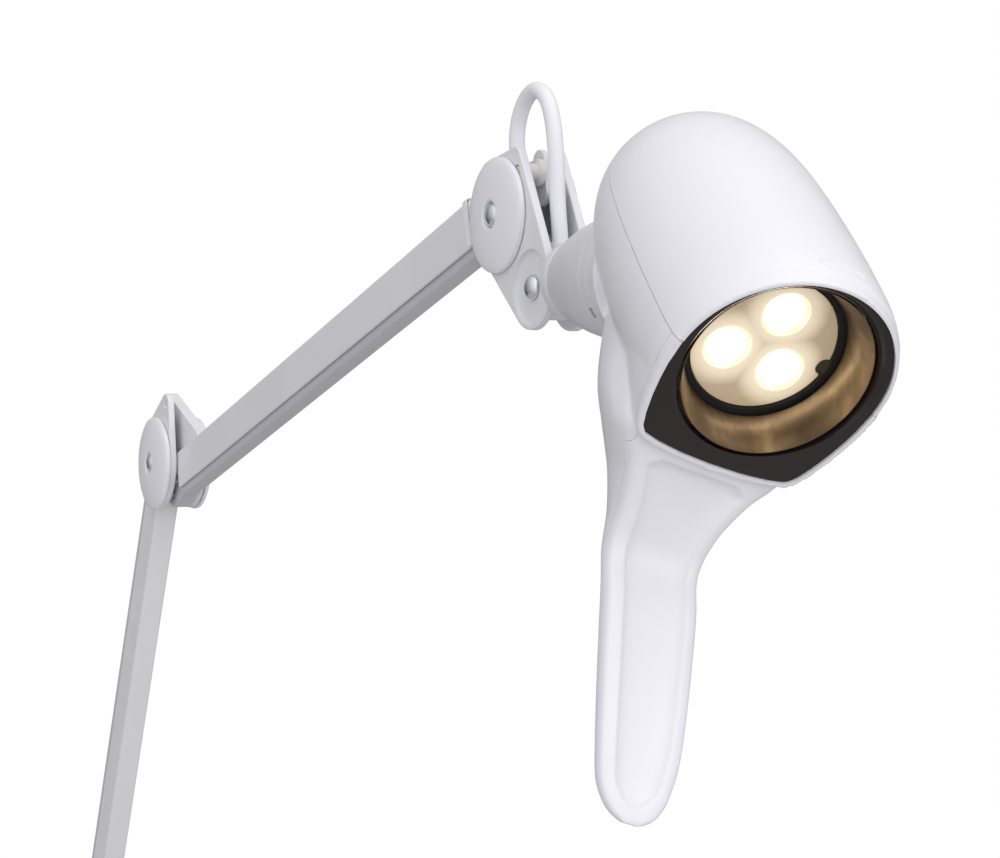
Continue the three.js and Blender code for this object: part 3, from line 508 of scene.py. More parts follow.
def make_lights():
    """A studio sweep of soft light, strongest from above and from the lamp's side."""
    world = bpy.data.worlds.new("studio")
    bpy.context.scene.world = world
    world.use_nodes = True
    tree = world.node_tree
    background = tree.nodes["Background"]
    place = tree.nodes.new("ShaderNodeTexCoord")
    lean = tree.nodes.new("ShaderNodeVectorMath")
    lean.operation = "DOT_PRODUCT"
    lean.inputs[1].default_value = SKY_LEAN
    tree.links.new(place.outputs["Generated"], lean.inputs[0])
    level = lean.outputs["Value"]
    for operation, value in (("ADD", SKY_LEVEL), ("MAXIMUM", SKY_LOWEST)):
        step = tree.nodes.new("ShaderNodeMath")
        step.operation = operation
        step.inputs[1].default_value = value
        tree.links.new(level, step.inputs[0])
        level = step.outputs[0]
    sight = tree.nodes.new("ShaderNodeLightPath")
    seen = tree.nodes.new("ShaderNodeMix")
    seen.data_type = "FLOAT"
    seen.inputs[3].default_value = BACKDROP
    tree.links.new(sight.outputs["Is Camera Ray"], seen.inputs[0])
    tree.links.new(level, seen.inputs[2])
    tree.links.new(seen.outputs[0], background.inputs["Strength"])
    background.inputs["Color"].default_value = (0.985, 0.985, 1.0, 1)
    for name, spot, size, power in SOFTBOXES:
        data = bpy.data.lights.new(name, "AREA")
        data.shape = "RECTANGLE"
        data.size, data.size_y = size
        data.energy = power
        data.color = (1.0, 0.985, 0.97)
        lamp = bpy.data.objects.new(name, data)
        bpy.context.scene.collection.objects.link(lamp)
        lamp.location = spot
        aim = LIGHT_TARGET - Vector(spot)
        lamp.rotation_euler = aim.to_track_quat("-Z", "Y").to_euler()
        lamp.visible_camera = False


SKY_LEAN = (0.46, -0.22, 0.44)
SKY_LEVEL, SKY_LOWEST, BACKDROP = 0.525, 0.06, 1.02
LIGHT_TARGET = Vector((0.7, 0, 0.5))
SOFTBOXES = [
    ("softbox_top", (1.1, 0.2, 1.9), (0.9, 0.9), 1.7),
    ("softbox_front", (1.9, 0.6, 0.6), (0.7, 1.1), 2.7),
    ("small_key", (1.25, 0.35, 1.45), (0.12, 0.12), 0.35),
]


def make_floor():
    reach, top, bottom = 1080, -0.4, -4
    verts, faces = lathe([(0, bottom), (reach, bottom), (reach, top), (0, top)], "Z", 160)
    mesh = bpy.data.meshes.new("floor")
    mesh.from_pydata([Vector(v) * MM for v in verts], [], faces)
    floor = bpy.data.objects.new("floor", mesh)
    bpy.context.scene.collection.objects.link(floor)
    n = Nodes("studio_floor")
    cloud = n.noise(3, 3)
    n.set(Base_Color=n.ramp(cloud, [(0.3, (0.49, 0.49, 0.495)), (0.7, (0.52, 0.52, 0.525))]),
          Roughness=n.spread(cloud, 0.55, 0.65))
    mesh.materials.append(n.material)


bpy.context.scene.view_settings.view_transform = "Standard"
make_camera()
make_lights()
make_floor()


# ------------------------------------------------------------------ knuckles
def both_sides(depth):
    """Places for what lies flat on the near and far side, as far out from the middle plane as depth."""
    out = Matrix.Translation((0, depth, 0))
    return ("near", Matrix.Rotation(math.pi, 4, "Z") @ out), ("far", out)


def make_caps(prefix, place, radius):
    """Domed cover discs with a stepped rim and a recess for the screw."""
    rim_top, rise, first, last = 2.25, 3.3, 0.28, 1.30
    rim = [(2.5, 0), (radius - 0.3, 0), (radius, 0.3), (radius, 1.55), (radius - 0.25, 1.95)]
    dome = [((radius - 0.9) * math.cos(t) / math.cos(first), rim_top + rise * (math.sin(t) - math.sin(first)))
            for t in np.linspace(first, last, 22)]
    top = dome[-1][1]
    recess = [(6.3, top + 0.05), (5.9, top - 0.12), (5.6, 4.2), (5.35, 2.1), (5.0, 1.8), (2.5, 1.8)]
    cover = lathe(rim + [d for d in dome if d[0] > 6.6] + recess, "Y", 128, closed=True)
    for side, out in both_sides(CHEEK_OUT + GAP):
        seat = place @ out
        new_piece(f"{prefix}_cover_{side}", *cover, seat, "white_plastic", f"{prefix}_cap_{side}", sharp=38)
        make_screw(f"{prefix}_bolt_{side}", f"{prefix}_screw_{side}", seat, 4.5)


def make_screw(name, node, seat, shank):
    """Smooth domed chrome screw, with ridges for the thread on its shank."""
    crest, root, pitch = 2.1, 1.75, 0.5
    turns = int((shank + 1.5) / pitch)
    thread = [(root if k % 2 else crest, -shank + pitch / 2 * k) for k in range(turns * 2)]
    head = [(crest, 2.1), (4.75, 2.1), (4.9, 2.3), (4.85, 2.8), (4.6, 3.3), (4.15, 3.85), (3.45, 4.35),
            (2.6, 4.75), (1.7, 5.0), (0.8, 5.12), (0, 5.15)]
    verts, faces = lathe([(0, -shank)] + thread + head, "Y", 48)
    new_piece(name, verts, faces, seat, "chrome", node, sharp=30)


def hole(x, z, r):
    return circle(x, z, r, 40)


def make_elbow():
    lx, lz = LOWER_LINK.x, LOWER_LINK.z
    ux, uz = UPPER_LINK.x, UPPER_LINK.z
    disc = [(0, 0, 24.8), (lx, lz, 7.5)]
    holes = [hole(0, 0, 4.3), hole(lx, lz, 2.8), hole(ux, uz, 2.8)]
    near = plate(hull(disc + [(14, 32.5, 6)]), holes + [hole(15, 32.5, 2.4)], -CHEEK_OUT, -CHEEK_IN)
    new_piece("elbow_plate_near", *near, ELBOW, "white_paint", "elbow_cheek_near")
    far = plate(hull(disc), holes, CHEEK_IN, CHEEK_OUT)
    new_piece("elbow_plate_far", *far, ELBOW, "white_paint", "elbow_cheek_far")
    make_caps("elbow", ELBOW, 25.6)
    for node in ("elbow_axle", "elbow_pin_lower", "elbow_pin_upper"):
        softened(node, 0.25)


def make_fork():
    tx, tz = (TILT_PIVOT - FORK_PIVOT).x, (TILT_PIVOT - FORK_PIVOT).z
    link = (-UPPER_LINK.x, -UPPER_LINK.z)
    spacer = (15, 16)
    outline = hull([(0, 0, 22.4), (*link, 5), (12.6, 21, 5), (35, -19.5, 5), (tx, tz, 16.5)])
    holes = [hole(0, 0, 4.3), hole(*link, 2.8), hole(*spacer, 2.5), hole(tx, tz, 4.3)]
    pocket = lathe(rounded([(0, 1.8), (14.6, 1.8), (15.4, 6), (0, 6)], 0.5), "Y", 96)
    for side, out in both_sides(CHEEK_IN):
        y0, y1 = (-CHEEK_OUT, -CHEEK_IN) if side == "near" else (CHEEK_IN, CHEEK_OUT)
        cheek = new_piece(f"fork_plate_{side}", *plate(outline, holes, y0, y1), FORK, "white_paint",
                          f"fork_cheek_{side}", sharp=0, weighted=False)
        boolean(cheek, scratch(pocket, FORK @ at((tx, 0, tz)) @ out), "DIFFERENCE")
        smooth(cheek, 32)
    make_caps("fork", FORK, 23.1)
    for node in ("fork_axle", "fork_link_pin", "fork_spacer", "fork_web", "fork_brace"):
        softened(node, 0.25)


# ------------------------------------------------------------------ arm sections
def channel_section(half, top, bottom, wall, radius=1.7):
    """Rounded (y, z) outline of a channel that is open at its bottom."""
    def shoulder(side, reach, height, r, steps):
        return [(side * (reach - r + r * math.cos(a)), height - r + r * math.sin(a))
                for a in np.linspace(0, math.pi / 2, steps)]

    lip, inside, inner = 0.45, half - wall, (half - wall, top - wall, radius - wall, 5)
    outer = (half, top, radius, 7)
    loop = [(-half + lip, bottom), (-half, bottom + lip)] + shoulder(-1, *outer) + shoulder(1, *outer)[::-1]
    loop += [(half, bottom + lip), (half - lip, bottom), (inside + lip, bottom), (inside, bottom + lip)]
    loop += shoulder(1, *inner) + shoulder(-1, *inner)[::-1]
    return loop + [(-inside, bottom + lip), (-inside - lip, bottom)]


def make_coil(name, node, place, start, length, radius, z, wire=0.42, turns=150):
    """Balance spring with straight ends."""
    points = []
    steps = turns * 12
    hook = 4
    for k in range(steps + 1):
        a = 2 * math.pi * turns * k / steps
        r = radius - wire
        x = start + hook + (length - 2 * hook) * k / steps
        points.append(Vector((x, r * math.cos(a), z + r * math.sin(a))))
    end = start + length
    lead_in = [(start, 0, z), (start + 2, 0, z + 0.5), (start + 3.4, radius * 0.6, z + 0.3)]
    lead_out = [(end - 3.4, radius * 0.6, z + 0.3), (end - 2, 0, z + 0.5), (end, 0, z)]
    verts, faces = tube([Vector(p) for p in lead_in] + points + [Vector(p) for p in lead_out], wire, 6)
    new_piece(name, verts, faces, place, "spring_steel", node, sharp=0, weighted=False)


def tube(points, radius, sides):
    """Round rod along points, with flat closed ends, and no twist."""
    verts, faces = [], []
    side = Vector((0, 1, 0))
    for i, p in enumerate(points):
        ahead = (points[min(i + 1, len(points) - 1)] - points[max(i - 1, 0)]).normalized()
        side = (side - ahead * side.dot(ahead)).normalized()
        up = ahead.cross(side)
        r = radius[i] if isinstance(radius, list) else radius
        verts += [tuple(p + (side * c + up * s) * r) for c, s in circle(0, 0, 1, sides)]
    for i in range(len(points) - 1):
        for k in range(sides):
            n = (k + 1) % sides
            faces.append([i * sides + k, i * sides + n, (i + 1) * sides + n, (i + 1) * sides + k])
    faces.append(list(range(sides))[::-1])
    faces.append([len(verts) - sides + k for k in range(sides)])
    return verts, faces


def make_arm(prefix, place, along, link, start, end, spring):
    """Outer channel, the tie inside it, and the balance spring on the floor of the tie."""
    section = channel_section(ARM_HALF, 0, -ARM_DEPTH, 1.4)
    new_piece(f"{prefix}_outer_channel", *swept(section, start, ARM_LENGTH - end, 24), place, "white_paint",
              f"{prefix}_channel")
    # The tie takes the darker paint: painted shade under the outer channel.
    softened(f"{prefix}_tie", 0.4, 3, material="shaded_tie_paint")
    tie_axis = -abs(link.cross(along.normalized()).y)
    below_axis, floor, radius = 4, 1.6, 2.9
    first, height = ARM_LENGTH * 0.42 - spring / 2, tie_axis - below_axis + floor + radius
    make_coil(f"{prefix}_coil", f"{prefix}_spring", place, first, spring, radius, height)


ARM_HALF, ARM_DEPTH = 6.3, 20


def make_arms():
    make_arm("lower_arm", LOWER, ELBOW_PIVOT - BASE_PIVOT, LOWER_LINK, 24, 24, 190)
    make_arm("upper_arm", UPPER, LINK_PIVOT - ELBOW_PIVOT, UPPER_LINK, 22, 27, 200)
    for node in ("lower_arm_base_end", "lower_arm_elbow_end", "upper_arm_head_end", "upper_arm_elbow_end",
                 "spring_anchor_pin"):
        softened(node, 0.35)
    collar = channel_section(ARM_HALF + 0.9, 0.9, -ARM_DEPTH, 0.6, 2.0)
    sleeve = swept(collar, ARM_LENGTH - 31, ARM_LENGTH - 27.5, 3)
    new_piece("upper_arm_sleeve", *sleeve, UPPER, "white_plastic", "upper_arm_collar")


# ------------------------------------------------------------------ base
def make_base():
    r, thick, tube_r, top, bore, floor, screws_at = 50, 7, 15, 52, 8.35, 11, 35
    profile = [(0, 0), (r, 0), (r, thick), (19, thick), (tube_r, 11.5), (tube_r, top), (bore, top),
               (bore, floor), (0, floor)]
    turned = lathe(rounded(profile, 1.6), "Z", 128)
    flange = new_piece("base_plate", *turned, Matrix.Identity(4), "white_paint", "base_flange", sharp=0,
                       weighted=False)
    sink = lathe([(0, -3), (2.75, -3), (2.75, 4.6), (5.4, thick + 0.02), (5.4, 12), (0, 12)], "Z", 40)
    for angle in (30, 150, 270):
        spot = Matrix.Rotation(math.radians(angle), 3, "Z") @ Vector((screws_at, 0, 0))
        boolean(flange, scratch(sink, Matrix.Translation(spot)), "DIFFERENCE")
    smooth(flange, 32)
    for node in ("spigot_bush", "base_spigot", "base_fork", "base_axle", "base_link_pin"):
        softened(node, 0.5 if node == "base_fork" else 0.3)


# ------------------------------------------------------------------ neck and cable
def make_neck():
    softened("tilt_block", 0.4)
    r0, r1, start, end, wall, bore = 15.5, 24.3, 17.2, 70, 2.2, 6.6
    foot = start + 6
    swell = np.linspace(0, 1, 18)
    outside = [(r0 + (r1 - r0) * (1 - (1 - t) ** 2), foot + (end - 7 - start) * t) for t in swell]
    outside[0] = (r0 - 0.2, foot)
    outside[-3:-1] = [(r1 - 0.1, end - 6.0), (r1 - 0.4, end - 5.7), (r1 - 0.4, end - 5.3), (r1, end - 5.0)]
    inside = [(min(r, r1 - 0.8) - wall, x) for r, x in reversed(outside[1:])]
    profile = [(bore, start), (r0 - 0.9, start), (r0 - 0.2, start + 0.3), (r0, start + 0.9),
               (r0, start + 4.1), (r0 - 0.25, start + 4.6), (r0 - 0.9, start + 5.1), (r0 - 0.85, start + 5.5)]
    profile += outside + [(r1, end - 0.5), (r1 - 0.4, end), (r1 - wall, end)]
    profile += inside + [(r0 - 2.6, foot), (bore, start + 3)]
    place = NECK @ TO_NECK_AXIS
    turned = lathe(profile, "X", 128, closed=True)
    # The shroud's darker grey is painted shade.
    cone = new_piece("neck_shroud", *turned, place, "neck_plastic", "neck_cone", sharp=0, weighted=False)
    for x0, x1, angle, width in NECK_SLOTS:
        slot = box(x0, x1, -width / 2, width / 2, 12.5, 30)
        boolean(cone, scratch(slot, place @ Matrix.Rotation(math.radians(angle), 4, "X")), "DIFFERENCE")
    smooth(cone, 34)
    softened("swivel_shaft", 0.25)
    softened("tilt_axle", 0.25)
    for side, out in both_sides(CHEEK_IN):
        make_screw(f"tilt_bolt_{side}", f"tilt_screw_{side}", NECK @ out, 3)


# Each slot in the neck's shroud: from and to along the neck, angle round it, width.
NECK_SLOTS = [(22.4, 24.0, 38, 5), (67.0, 69.2, 125, 4.5)]


def catmull(points, steps):
    """A smooth line through points."""
    pts = [points[0] * 2 - points[1]] + list(points) + [points[-1] * 2 - points[-2]]
    out = []
    for i in range(1, len(pts) - 2):
        a, b, c, d = pts[i - 1:i + 3]
        for k in range(steps):
            t = k / steps
            out.append(0.5 * ((2 * b) + (c - a) * t + (2 * a - 5 * b + 4 * c - d) * t * t
                              + (3 * b - a - 3 * c + d) * t ** 3))
    out.append(points[-1])
    return out


def make_cable():
    """The lead's loop from the arm into the neck. The leg at the arm keeps still, the other bends."""
    gland = TILT_PIVOT - FORK_PIVOT + Matrix.Rotation(math.radians(HEAD_DIP), 3, "Y") @ Vector((4.6, 0, 13.4))
    route = [(-1, 11.5), (-2.3, 20), (-5.6, 29), (-4.2, 38.5), (2, 46.3), (11, 49.2), (19.8, 44.8),
             (25.4, 34.5), (28.2, 20), (29.5, 4), (gland.x, gland.z + 6), (gland.x, gland.z)]
    crown_point, steps, around = 5, 9, 40
    line = catmull([Vector((x, 0, z)) for x, z in route], steps)
    radius = [3.2] * len(line)
    radius[0] = radius[-1] = 2.9
    verts, faces = tube(line, radius, around)
    crown = crown_point * steps * around
    joint = list(range(crown, crown + around))
    root_faces = faces[:crown] + [faces[-2], joint]
    lead_faces = [[i - crown for i in face] for face in faces[crown:-2] + [faces[-1], joint[::-1]]]
    new_piece("cable_root", verts[:crown + around], root_faces, FORK, "cable_white", body="fork",
              slot=SLOT_OF["cable_loop"], sharp=50, weighted=False)
    cable = new_piece("cable_lead", verts[crown:], lead_faces, FORK, "cable_white", "cable_loop",
                      body="blended", sharp=50, weighted=False)
    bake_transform(cable)


# ------------------------------------------------------------------ head shells
# Rows down the handle: depth below the tilt hinge, how far its rear, middle and front are from the hinge
# along the neck, half its width, and the power of its rear outline.
SPINE = [
    (0, 74, 110, 130, 24, 2.2), (25, 76, 122, 142, 29, 1.9), (46, 84, 130, 149, 33, 1.6),
    (60, 92, 140, 151.5, 33, 1.5), (67, 97, 141.5, 149, 29.5, 1.6), (75, 102.5, 139, 145, 24, 1.8),
    (88, 111, 133, 139.3, 19.4, 2), (101, 120, 130, 136, 18.1, 2.2), (114, 127, 136, 142, 17.9, 2.2),
    (128, 133, 142, 147.6, 17.5, 2.2), (147, 141.5, 149.6, 154.8, 16.7, 2.2),
    (163, 148.5, 155.6, 160.2, 15.6, 2.2), (174, 152.7, 158.3, 162.7, 13.8, 2.1),
    (180, 155.3, 160.3, 164.2, 11.2, 2), (184, 158, 161.9, 165, 7.6, 2), (186.2, 160.8, 162.9, 165.2, 3.2, 2),
]
# The can's (radius, distance back from the face), and half of the shield's outline on the face.
CAN_PROFILE = [(38.9, -6), (39.6, -0.5), (40.8, 2), (41.5, 6), (42, 12), (42.5, 34), (42.2, 60), (41.2, 80),
               (39.6, 94), (37.3, 105), (33.8, 115), (28.6, 123), (21.5, 128.5), (12, 131.6), (0, 132.6)]
SHIELD_SIDE = [(0, 37.8), (-9, 37.3), (-15.3, 36.3), (-22, 34.8), (-29, 32.7), (-34, 30.6), (-36.8, 28),
               (-38.4, 21.5), (-39.5, 12), (-39.9, 0)]
SHELL, RIM, BEZEL_RADIUS, OPENING_RADIUS = 2.5, 0.8, 37.6, 33.2
ROWS = catmull([np.array(row, float) for row in SPINE], 7)


def spine_at(depth):
    """The handle's row at a depth between two rows."""
    return [float(np.interp(depth, [r[0] for r in ROWS], [r[k] for r in ROWS])) for k in range(6)]


def loft(rings):
    """Closed solid through rings of equal length, flat at both ends."""
    count = len(rings[0])
    verts = [v for ring in rings for v in ring]
    faces = []
    for i in range(len(rings) - 1):
        for k in range(count):
            n = (k + 1) % count
            faces.append([i * count + k, i * count + n, (i + 1) * count + n, (i + 1) * count + k])
    faces.append(list(range(count))[::-1])
    faces.append([len(verts) - count + k for k in range(count)])
    return verts, faces


def bent(value, power):
    """A sine or cosine bent to a power with its sign kept, for outlines between a round and a square."""
    return math.copysign(abs(value) ** power, value)


def spine_solid(inset_by, to_depth=math.inf, filled=True):
    """The handle as a solid, with its front filled out or cut off at its middle."""
    around, front_power = 88, 5
    rings = []
    for depth, rear, middle, front, half, rear_power in ROWS:
        if depth > to_depth:
            break
        ahead = max(front - middle, 0.2) if filled else 0.2
        width = max(half - inset_by, 1)
        ring = []
        for c, s in circle(0, 0, 1, around):
            power = 2 / (front_power if s > 0 else rear_power)
            reach = ahead if s > 0 else middle - rear - inset_by
            ring.append((middle + reach * bent(s, power), width * bent(c, power), -depth))
        rings.append(ring)
    return loft(rings)


def can_solid(inset_by, start):
    """The round can as a solid from a distance back from the face. An inset moves its back in as well."""
    back_from, back_length = 90, 43
    fine = [(p.x, p.y) for p in catmull([Vector(p) for p in CAN_PROFILE], 5)]
    points = [(max(r - inset_by, 0), z - inset_by * max(z - back_from, 0) / back_length)
              for r, z in fine if z > start]
    points[-1] = (0, points[-1][1])
    return lathe([(0, start), (points[0][0], start)] + points, "Z", 144)


def shield_loop(margin):
    growth = [1 + margin / math.hypot(u, s) for u, s in SHIELD_SIDE]
    grown = [(u * g, s * g) for (u, s), g in zip(SHIELD_SIDE, growth)]
    return grown + [(u, -s) for u, s in reversed(grown[:-1])]


def shield_solid(margin, z0, z1, back_radius, z_back):
    """The body under the can: hull of the shield's outline on the face and a half circle behind it."""
    points = [(u, s, z) for u, s in shield_loop(margin) for z in (z0, z1)]
    for a in np.linspace(math.pi / 2, math.pi * 1.5, 41):
        points.append((back_radius * math.cos(a), back_radius * math.sin(a), z_back))
    bm = bmesh.new()
    for p in points:
        bm.verts.new(p)
    made = bmesh.ops.convex_hull(bm, input=bm.verts)
    within = [g for g in made["geom_interior"] if isinstance(g, bmesh.types.BMVert)]
    bmesh.ops.delete(bm, geom=within, context="VERTS")
    bm.verts.index_update()
    part = [tuple(v.co) for v in bm.verts], [[v.index for v in f.verts] for f in bm.faces]
    bm.free()
    return part


def parting_solid(shift):
    """Everything in front of the line where the handle's front frame meets the body shell."""
    to_head = HEAD.inverted() @ FACE
    rim_depth, ahead, aside, below = 3, 260, 60, -200
    rim = [to_head @ Vector((u, 0, rim_depth + shift)) for u in (5, -44)]
    line = [(p.x, p.z) for p in rim]
    line += [(r[2] - shift, -r[0]) for r in ROWS if -r[0] < line[1][1] - 0.4] + [(ROWS[-1][2], below)]
    return loft([[(x, -aside, z), (ahead, -aside, z), (ahead, aside, z), (x, aside, z)] for x, z in line])


def slab(x0, x1, z0, z1):
    """A sharp block as wide as any part of the head."""
    return plate([(x0, z0), (x1, z0), (x1, z1), (x0, z1)], [], -80, 80, edge=0)


def half_space(side, gap):
    """The hood's side (1) or the body's side (-1) of the seam, in the can's frame."""
    x0, x1 = (gap / 2, 90) if side > 0 else (-260, -gap / 2)
    return slab(x0, x1, -90, 190)


def recess_solid():
    """The long hollow in the front of the handle, with rounded ends."""
    top, bottom, border, deep, power = 70, 181, 5.6, 4.2, 0.6
    tip_length, head_length = 9, 3
    rings = []
    stops = np.concatenate([np.linspace(0, 0.05, 6), np.linspace(0.06, 0.9, 40), np.linspace(0.905, 1, 16)])
    for along in stops:
        depth = top + (bottom - top) * along
        row = spine_at(depth)
        tip = min(1, max(0, (bottom - depth) / tip_length))
        head = min(1, max(0, (depth - top) / head_length))
        bow = max(0.12, math.sqrt(1 - (1 - tip) ** 2)) * max(0.75, math.sqrt(1 - (1 - head) ** 2))
        width, deep_here = (row[4] - border) * bow, deep * min(1, bow + 0.2)
        rings.append([(row[3] + 0.8 + deep_here * bent(s, power), width * bent(c, power), -depth)
                      for c, s in circle(0, 0, 1, 64)])
    return loft(rings)


def make_shells():
    """Hood, body shell and front frame, cut from one skin so that their outlines run through."""
    neck_end, mouth, bore, inner_end = 70.6, 92, 5.8, 73.2
    boss = [(0, neck_end), (24.3, neck_end), (24.9, 71.2), (25.4, 72.4), (33, mouth), (0, mouth)]
    outer = scratch(can_solid(0, -8), CAN)
    boolean(outer, scratch(slab(-80, 80, -60, -RIM), FACE), "DIFFERENCE")
    boolean(outer, scratch(lathe(boss, "X", 128), SWIVEL), "UNION")
    for part, place in ((shield_solid(2.5, -RIM, 6, 41.4, 55), FACE), (spine_solid(0), HEAD)):
        lower = scratch(part, place)
        boolean(lower, scratch(half_space(-1, 0), CAN), "INTERSECT")
        boolean(outer, lower, "UNION")
    boolean(outer, scratch(recess_solid(), HEAD), "DIFFERENCE")
    remesh(outer, voxel=0.75, smoothing=5)

    inner_cuts = [
        (can_solid(SHELL, 5), CAN),
        (rod(BEZEL_RADIUS + GAP, -9, 9, "Z", 144), FACE),
        (shield_solid(GAP, -7, 9, 37, 40), FACE),
        (spine_solid(SHELL, 160, filled=False), HEAD),
        (rod(bore, 60, 100, "X", 48), SWIVEL),
        (lathe([(0, inner_end), (20, inner_end), (30, mouth), (0, mouth)], "X", 96), SWIVEL),
        (rod(27, 40, neck_end, "X", 96), SWIVEL),
    ]
    for part, place in inner_cuts:
        boolean(outer, scratch(part, place), "DIFFERENCE")

    seam, half_parting = 0.3, 0.09
    hood = copy_of(outer)
    boolean(hood, scratch(half_space(1, seam), CAN), "INTERSECT")
    body = outer
    boolean(body, scratch(half_space(-1, seam), CAN), "INTERSECT")
    front = copy_of(body)
    boolean(front, scratch(parting_solid(-half_parting), HEAD), "INTERSECT")
    boolean(body, scratch(parting_solid(half_parting), HEAD), "DIFFERENCE")
    boolean(body, scratch(rod(6.3, 80, 104, "X", 48), BUTTON), "DIFFERENCE")
    for solid, name, node in ((hood, "hood_skin", "hood_cover"), (body, "body_skin", "body_shell"),
                              (front, "front_skin", "front_frame")):
        keep_largest(solid.data)
        piece_from(solid, name, "white_plastic", node, 40, weighted=False)


def keep_largest(mesh):
    """Removes any crumbs that cutting left, keeping the largest body."""
    bm = bmesh.new()
    bm.from_mesh(mesh)
    bm.verts.ensure_lookup_table()
    seen, groups = set(), []
    for v in bm.verts:
        if v.index in seen:
            continue
        stack, group = [v], []
        seen.add(v.index)
        while stack:
            q = stack.pop()
            group.append(q)
            for e in q.link_edges:
                w = e.other_vert(q)
                if w.index not in seen:
                    seen.add(w.index)
                    stack.append(w)
        groups.append(group)
    groups.sort(key=len)
    for group in groups[:-1]:
        bmesh.ops.delete(bm, geom=group, context="VERTS")
    bm.to_mesh(mesh)
    bm.free()


# ------------------------------------------------------------------ lamp
def make_bezel():
    """Black shield, round above and tapered below, that rolls into the lamp's opening."""
    r, flare, flare_from, flare_to = OPENING_RADIUS, 4.6, -1.4, 4.2
    upper = [(BEZEL_RADIUS * math.sin(a), BEZEL_RADIUS * math.cos(a)) for a in np.linspace(math.pi, 0, 97)]
    lower = catmull([Vector(p) for p in shield_loop(0)], 4)
    verts, faces = plate(upper[1:-1] + [(p.x, p.y) for p in lower], [], 0, 3, 0.25, 2)
    bezel = scratch(([(x, z, y) for x, y, z in verts], faces), FACE)
    lip = scratch(lathe([(r, -6), (r + 3, -6), (r + 3, 9), (r, 9)], "Z", 160, closed=True), CAN)
    boolean(lip, scratch(slab(-80, 80, -60, 0.6), FACE), "DIFFERENCE")
    boolean(bezel, lip, "UNION")
    roll = [(r + flare * (1 - math.sqrt(1 - ((flare_to - z) / (flare_to - flare_from)) ** 2)), z)
            for z in np.linspace(flare_from, flare_to, 25)]
    mouth = lathe([(0, -12), (r + flare, -12)] + roll + [(r, 12), (0, 12)], "Z", 160)
    boolean(bezel, scratch(mouth, CAN), "DIFFERENCE")
    piece_from(bezel, "face_bezel", "black_gloss", "bezel", 28)


def make_optics():
    """Bronze bell, black holder, three-cup optic and the LEDs behind it."""
    inner, out, depth, edge, optic = 27.3, OPENING_RADIUS - GAP * 3, 18.8, 25.3, 25
    flank = [(out - 0.25, 2.6), (out - 1.5, 6.5), (inner + 1.6, 11.5), (inner + 0.3, 16.8)]
    bell = [(out, 5), (out, 2.5)] + [(p.x, p.y) for p in catmull([Vector(p) for p in flank], 6)]
    bell += [(inner + 1.5, depth - 2), (out - 1.0, 10.5)]
    bell = lathe(bell, "Z", 160, closed=True)
    new_piece("bronze_bell", *bell, OPTICS, "bronze_reflector", "reflector", sharp=40)
    ring = [(edge, depth - 0.9), (inner - 0.5, depth - 0.9), (inner - 0.5, depth - 0.6),
            (inner + 3, depth - 0.6), (inner + 3, depth + 5), (edge, depth + 5), (edge, depth - 1.5)]
    ring = lathe(rounded(ring, 0.3, 3), "Z", 128, closed=True)
    new_piece("lens_holder", *ring, OPTICS, "black_matte", "lens_ring")

    spots = [Matrix.Rotation(math.radians(a), 3, "Z") @ Vector((12.6, 0, 0)) for a in (2, 122, 242)]
    back = depth + 1.8
    disc = rounded([(0, depth), (optic, depth), (optic, back), (0, back)], 0.4, 3)
    cup = [(0, back - 0.5), (9.4, back - 0.5), (9.2, back + 1), (8.2, back + 4), (6.6, back + 6.6),
           (4.4, back + 9), (0, back + 9)]
    dish = [(0, depth - 3), (8.5, depth - 3), (8.3, depth + 0.1), (7.9, depth + 0.9), (6.8, depth + 1.25),
            (4.2, depth + 1.05), (2, depth + 0.8), (0, depth + 0.7)]
    lens = scratch(lathe(disc, "Z", 144), OPTICS)
    for spot in spots:
        place = OPTICS @ Matrix.Translation(spot)
        boolean(lens, scratch(lathe(cup, "Z", 64), place), "UNION")
        boolean(lens, scratch(lathe(dish, "Z", 64), place), "DIFFERENCE")
    notch = OPTICS @ Matrix.Translation((0, optic, depth))
    boolean(lens, scratch(rod(3.4, -4, 4, "Z", 40), notch), "DIFFERENCE")
    lens = piece_from(lens, "lens_array", "clear_lens", "lens_plate", 35)
    front = Vector((0, 0, depth))
    lens.data.materials[0] = lens_material([OPTICS @ (spot + front) * MM for spot in spots])

    board = back + 11
    chip = [(0, board - 1.6), (1.3, board - 1.45), (1.9, board - 0.9), (1.9, board - 0.3), (0, board - 0.3)]
    chip = lathe(rounded(chip, 0.3, 3), "Z", 32)
    for i, spot in enumerate(spots, 1):
        new_piece(f"led_die_{i}", *chip, OPTICS @ Matrix.Translation(spot), "led_emitter", f"led_{i}")
    softened("led_board", 0.2)
    softened("heat_sink", 0.25)


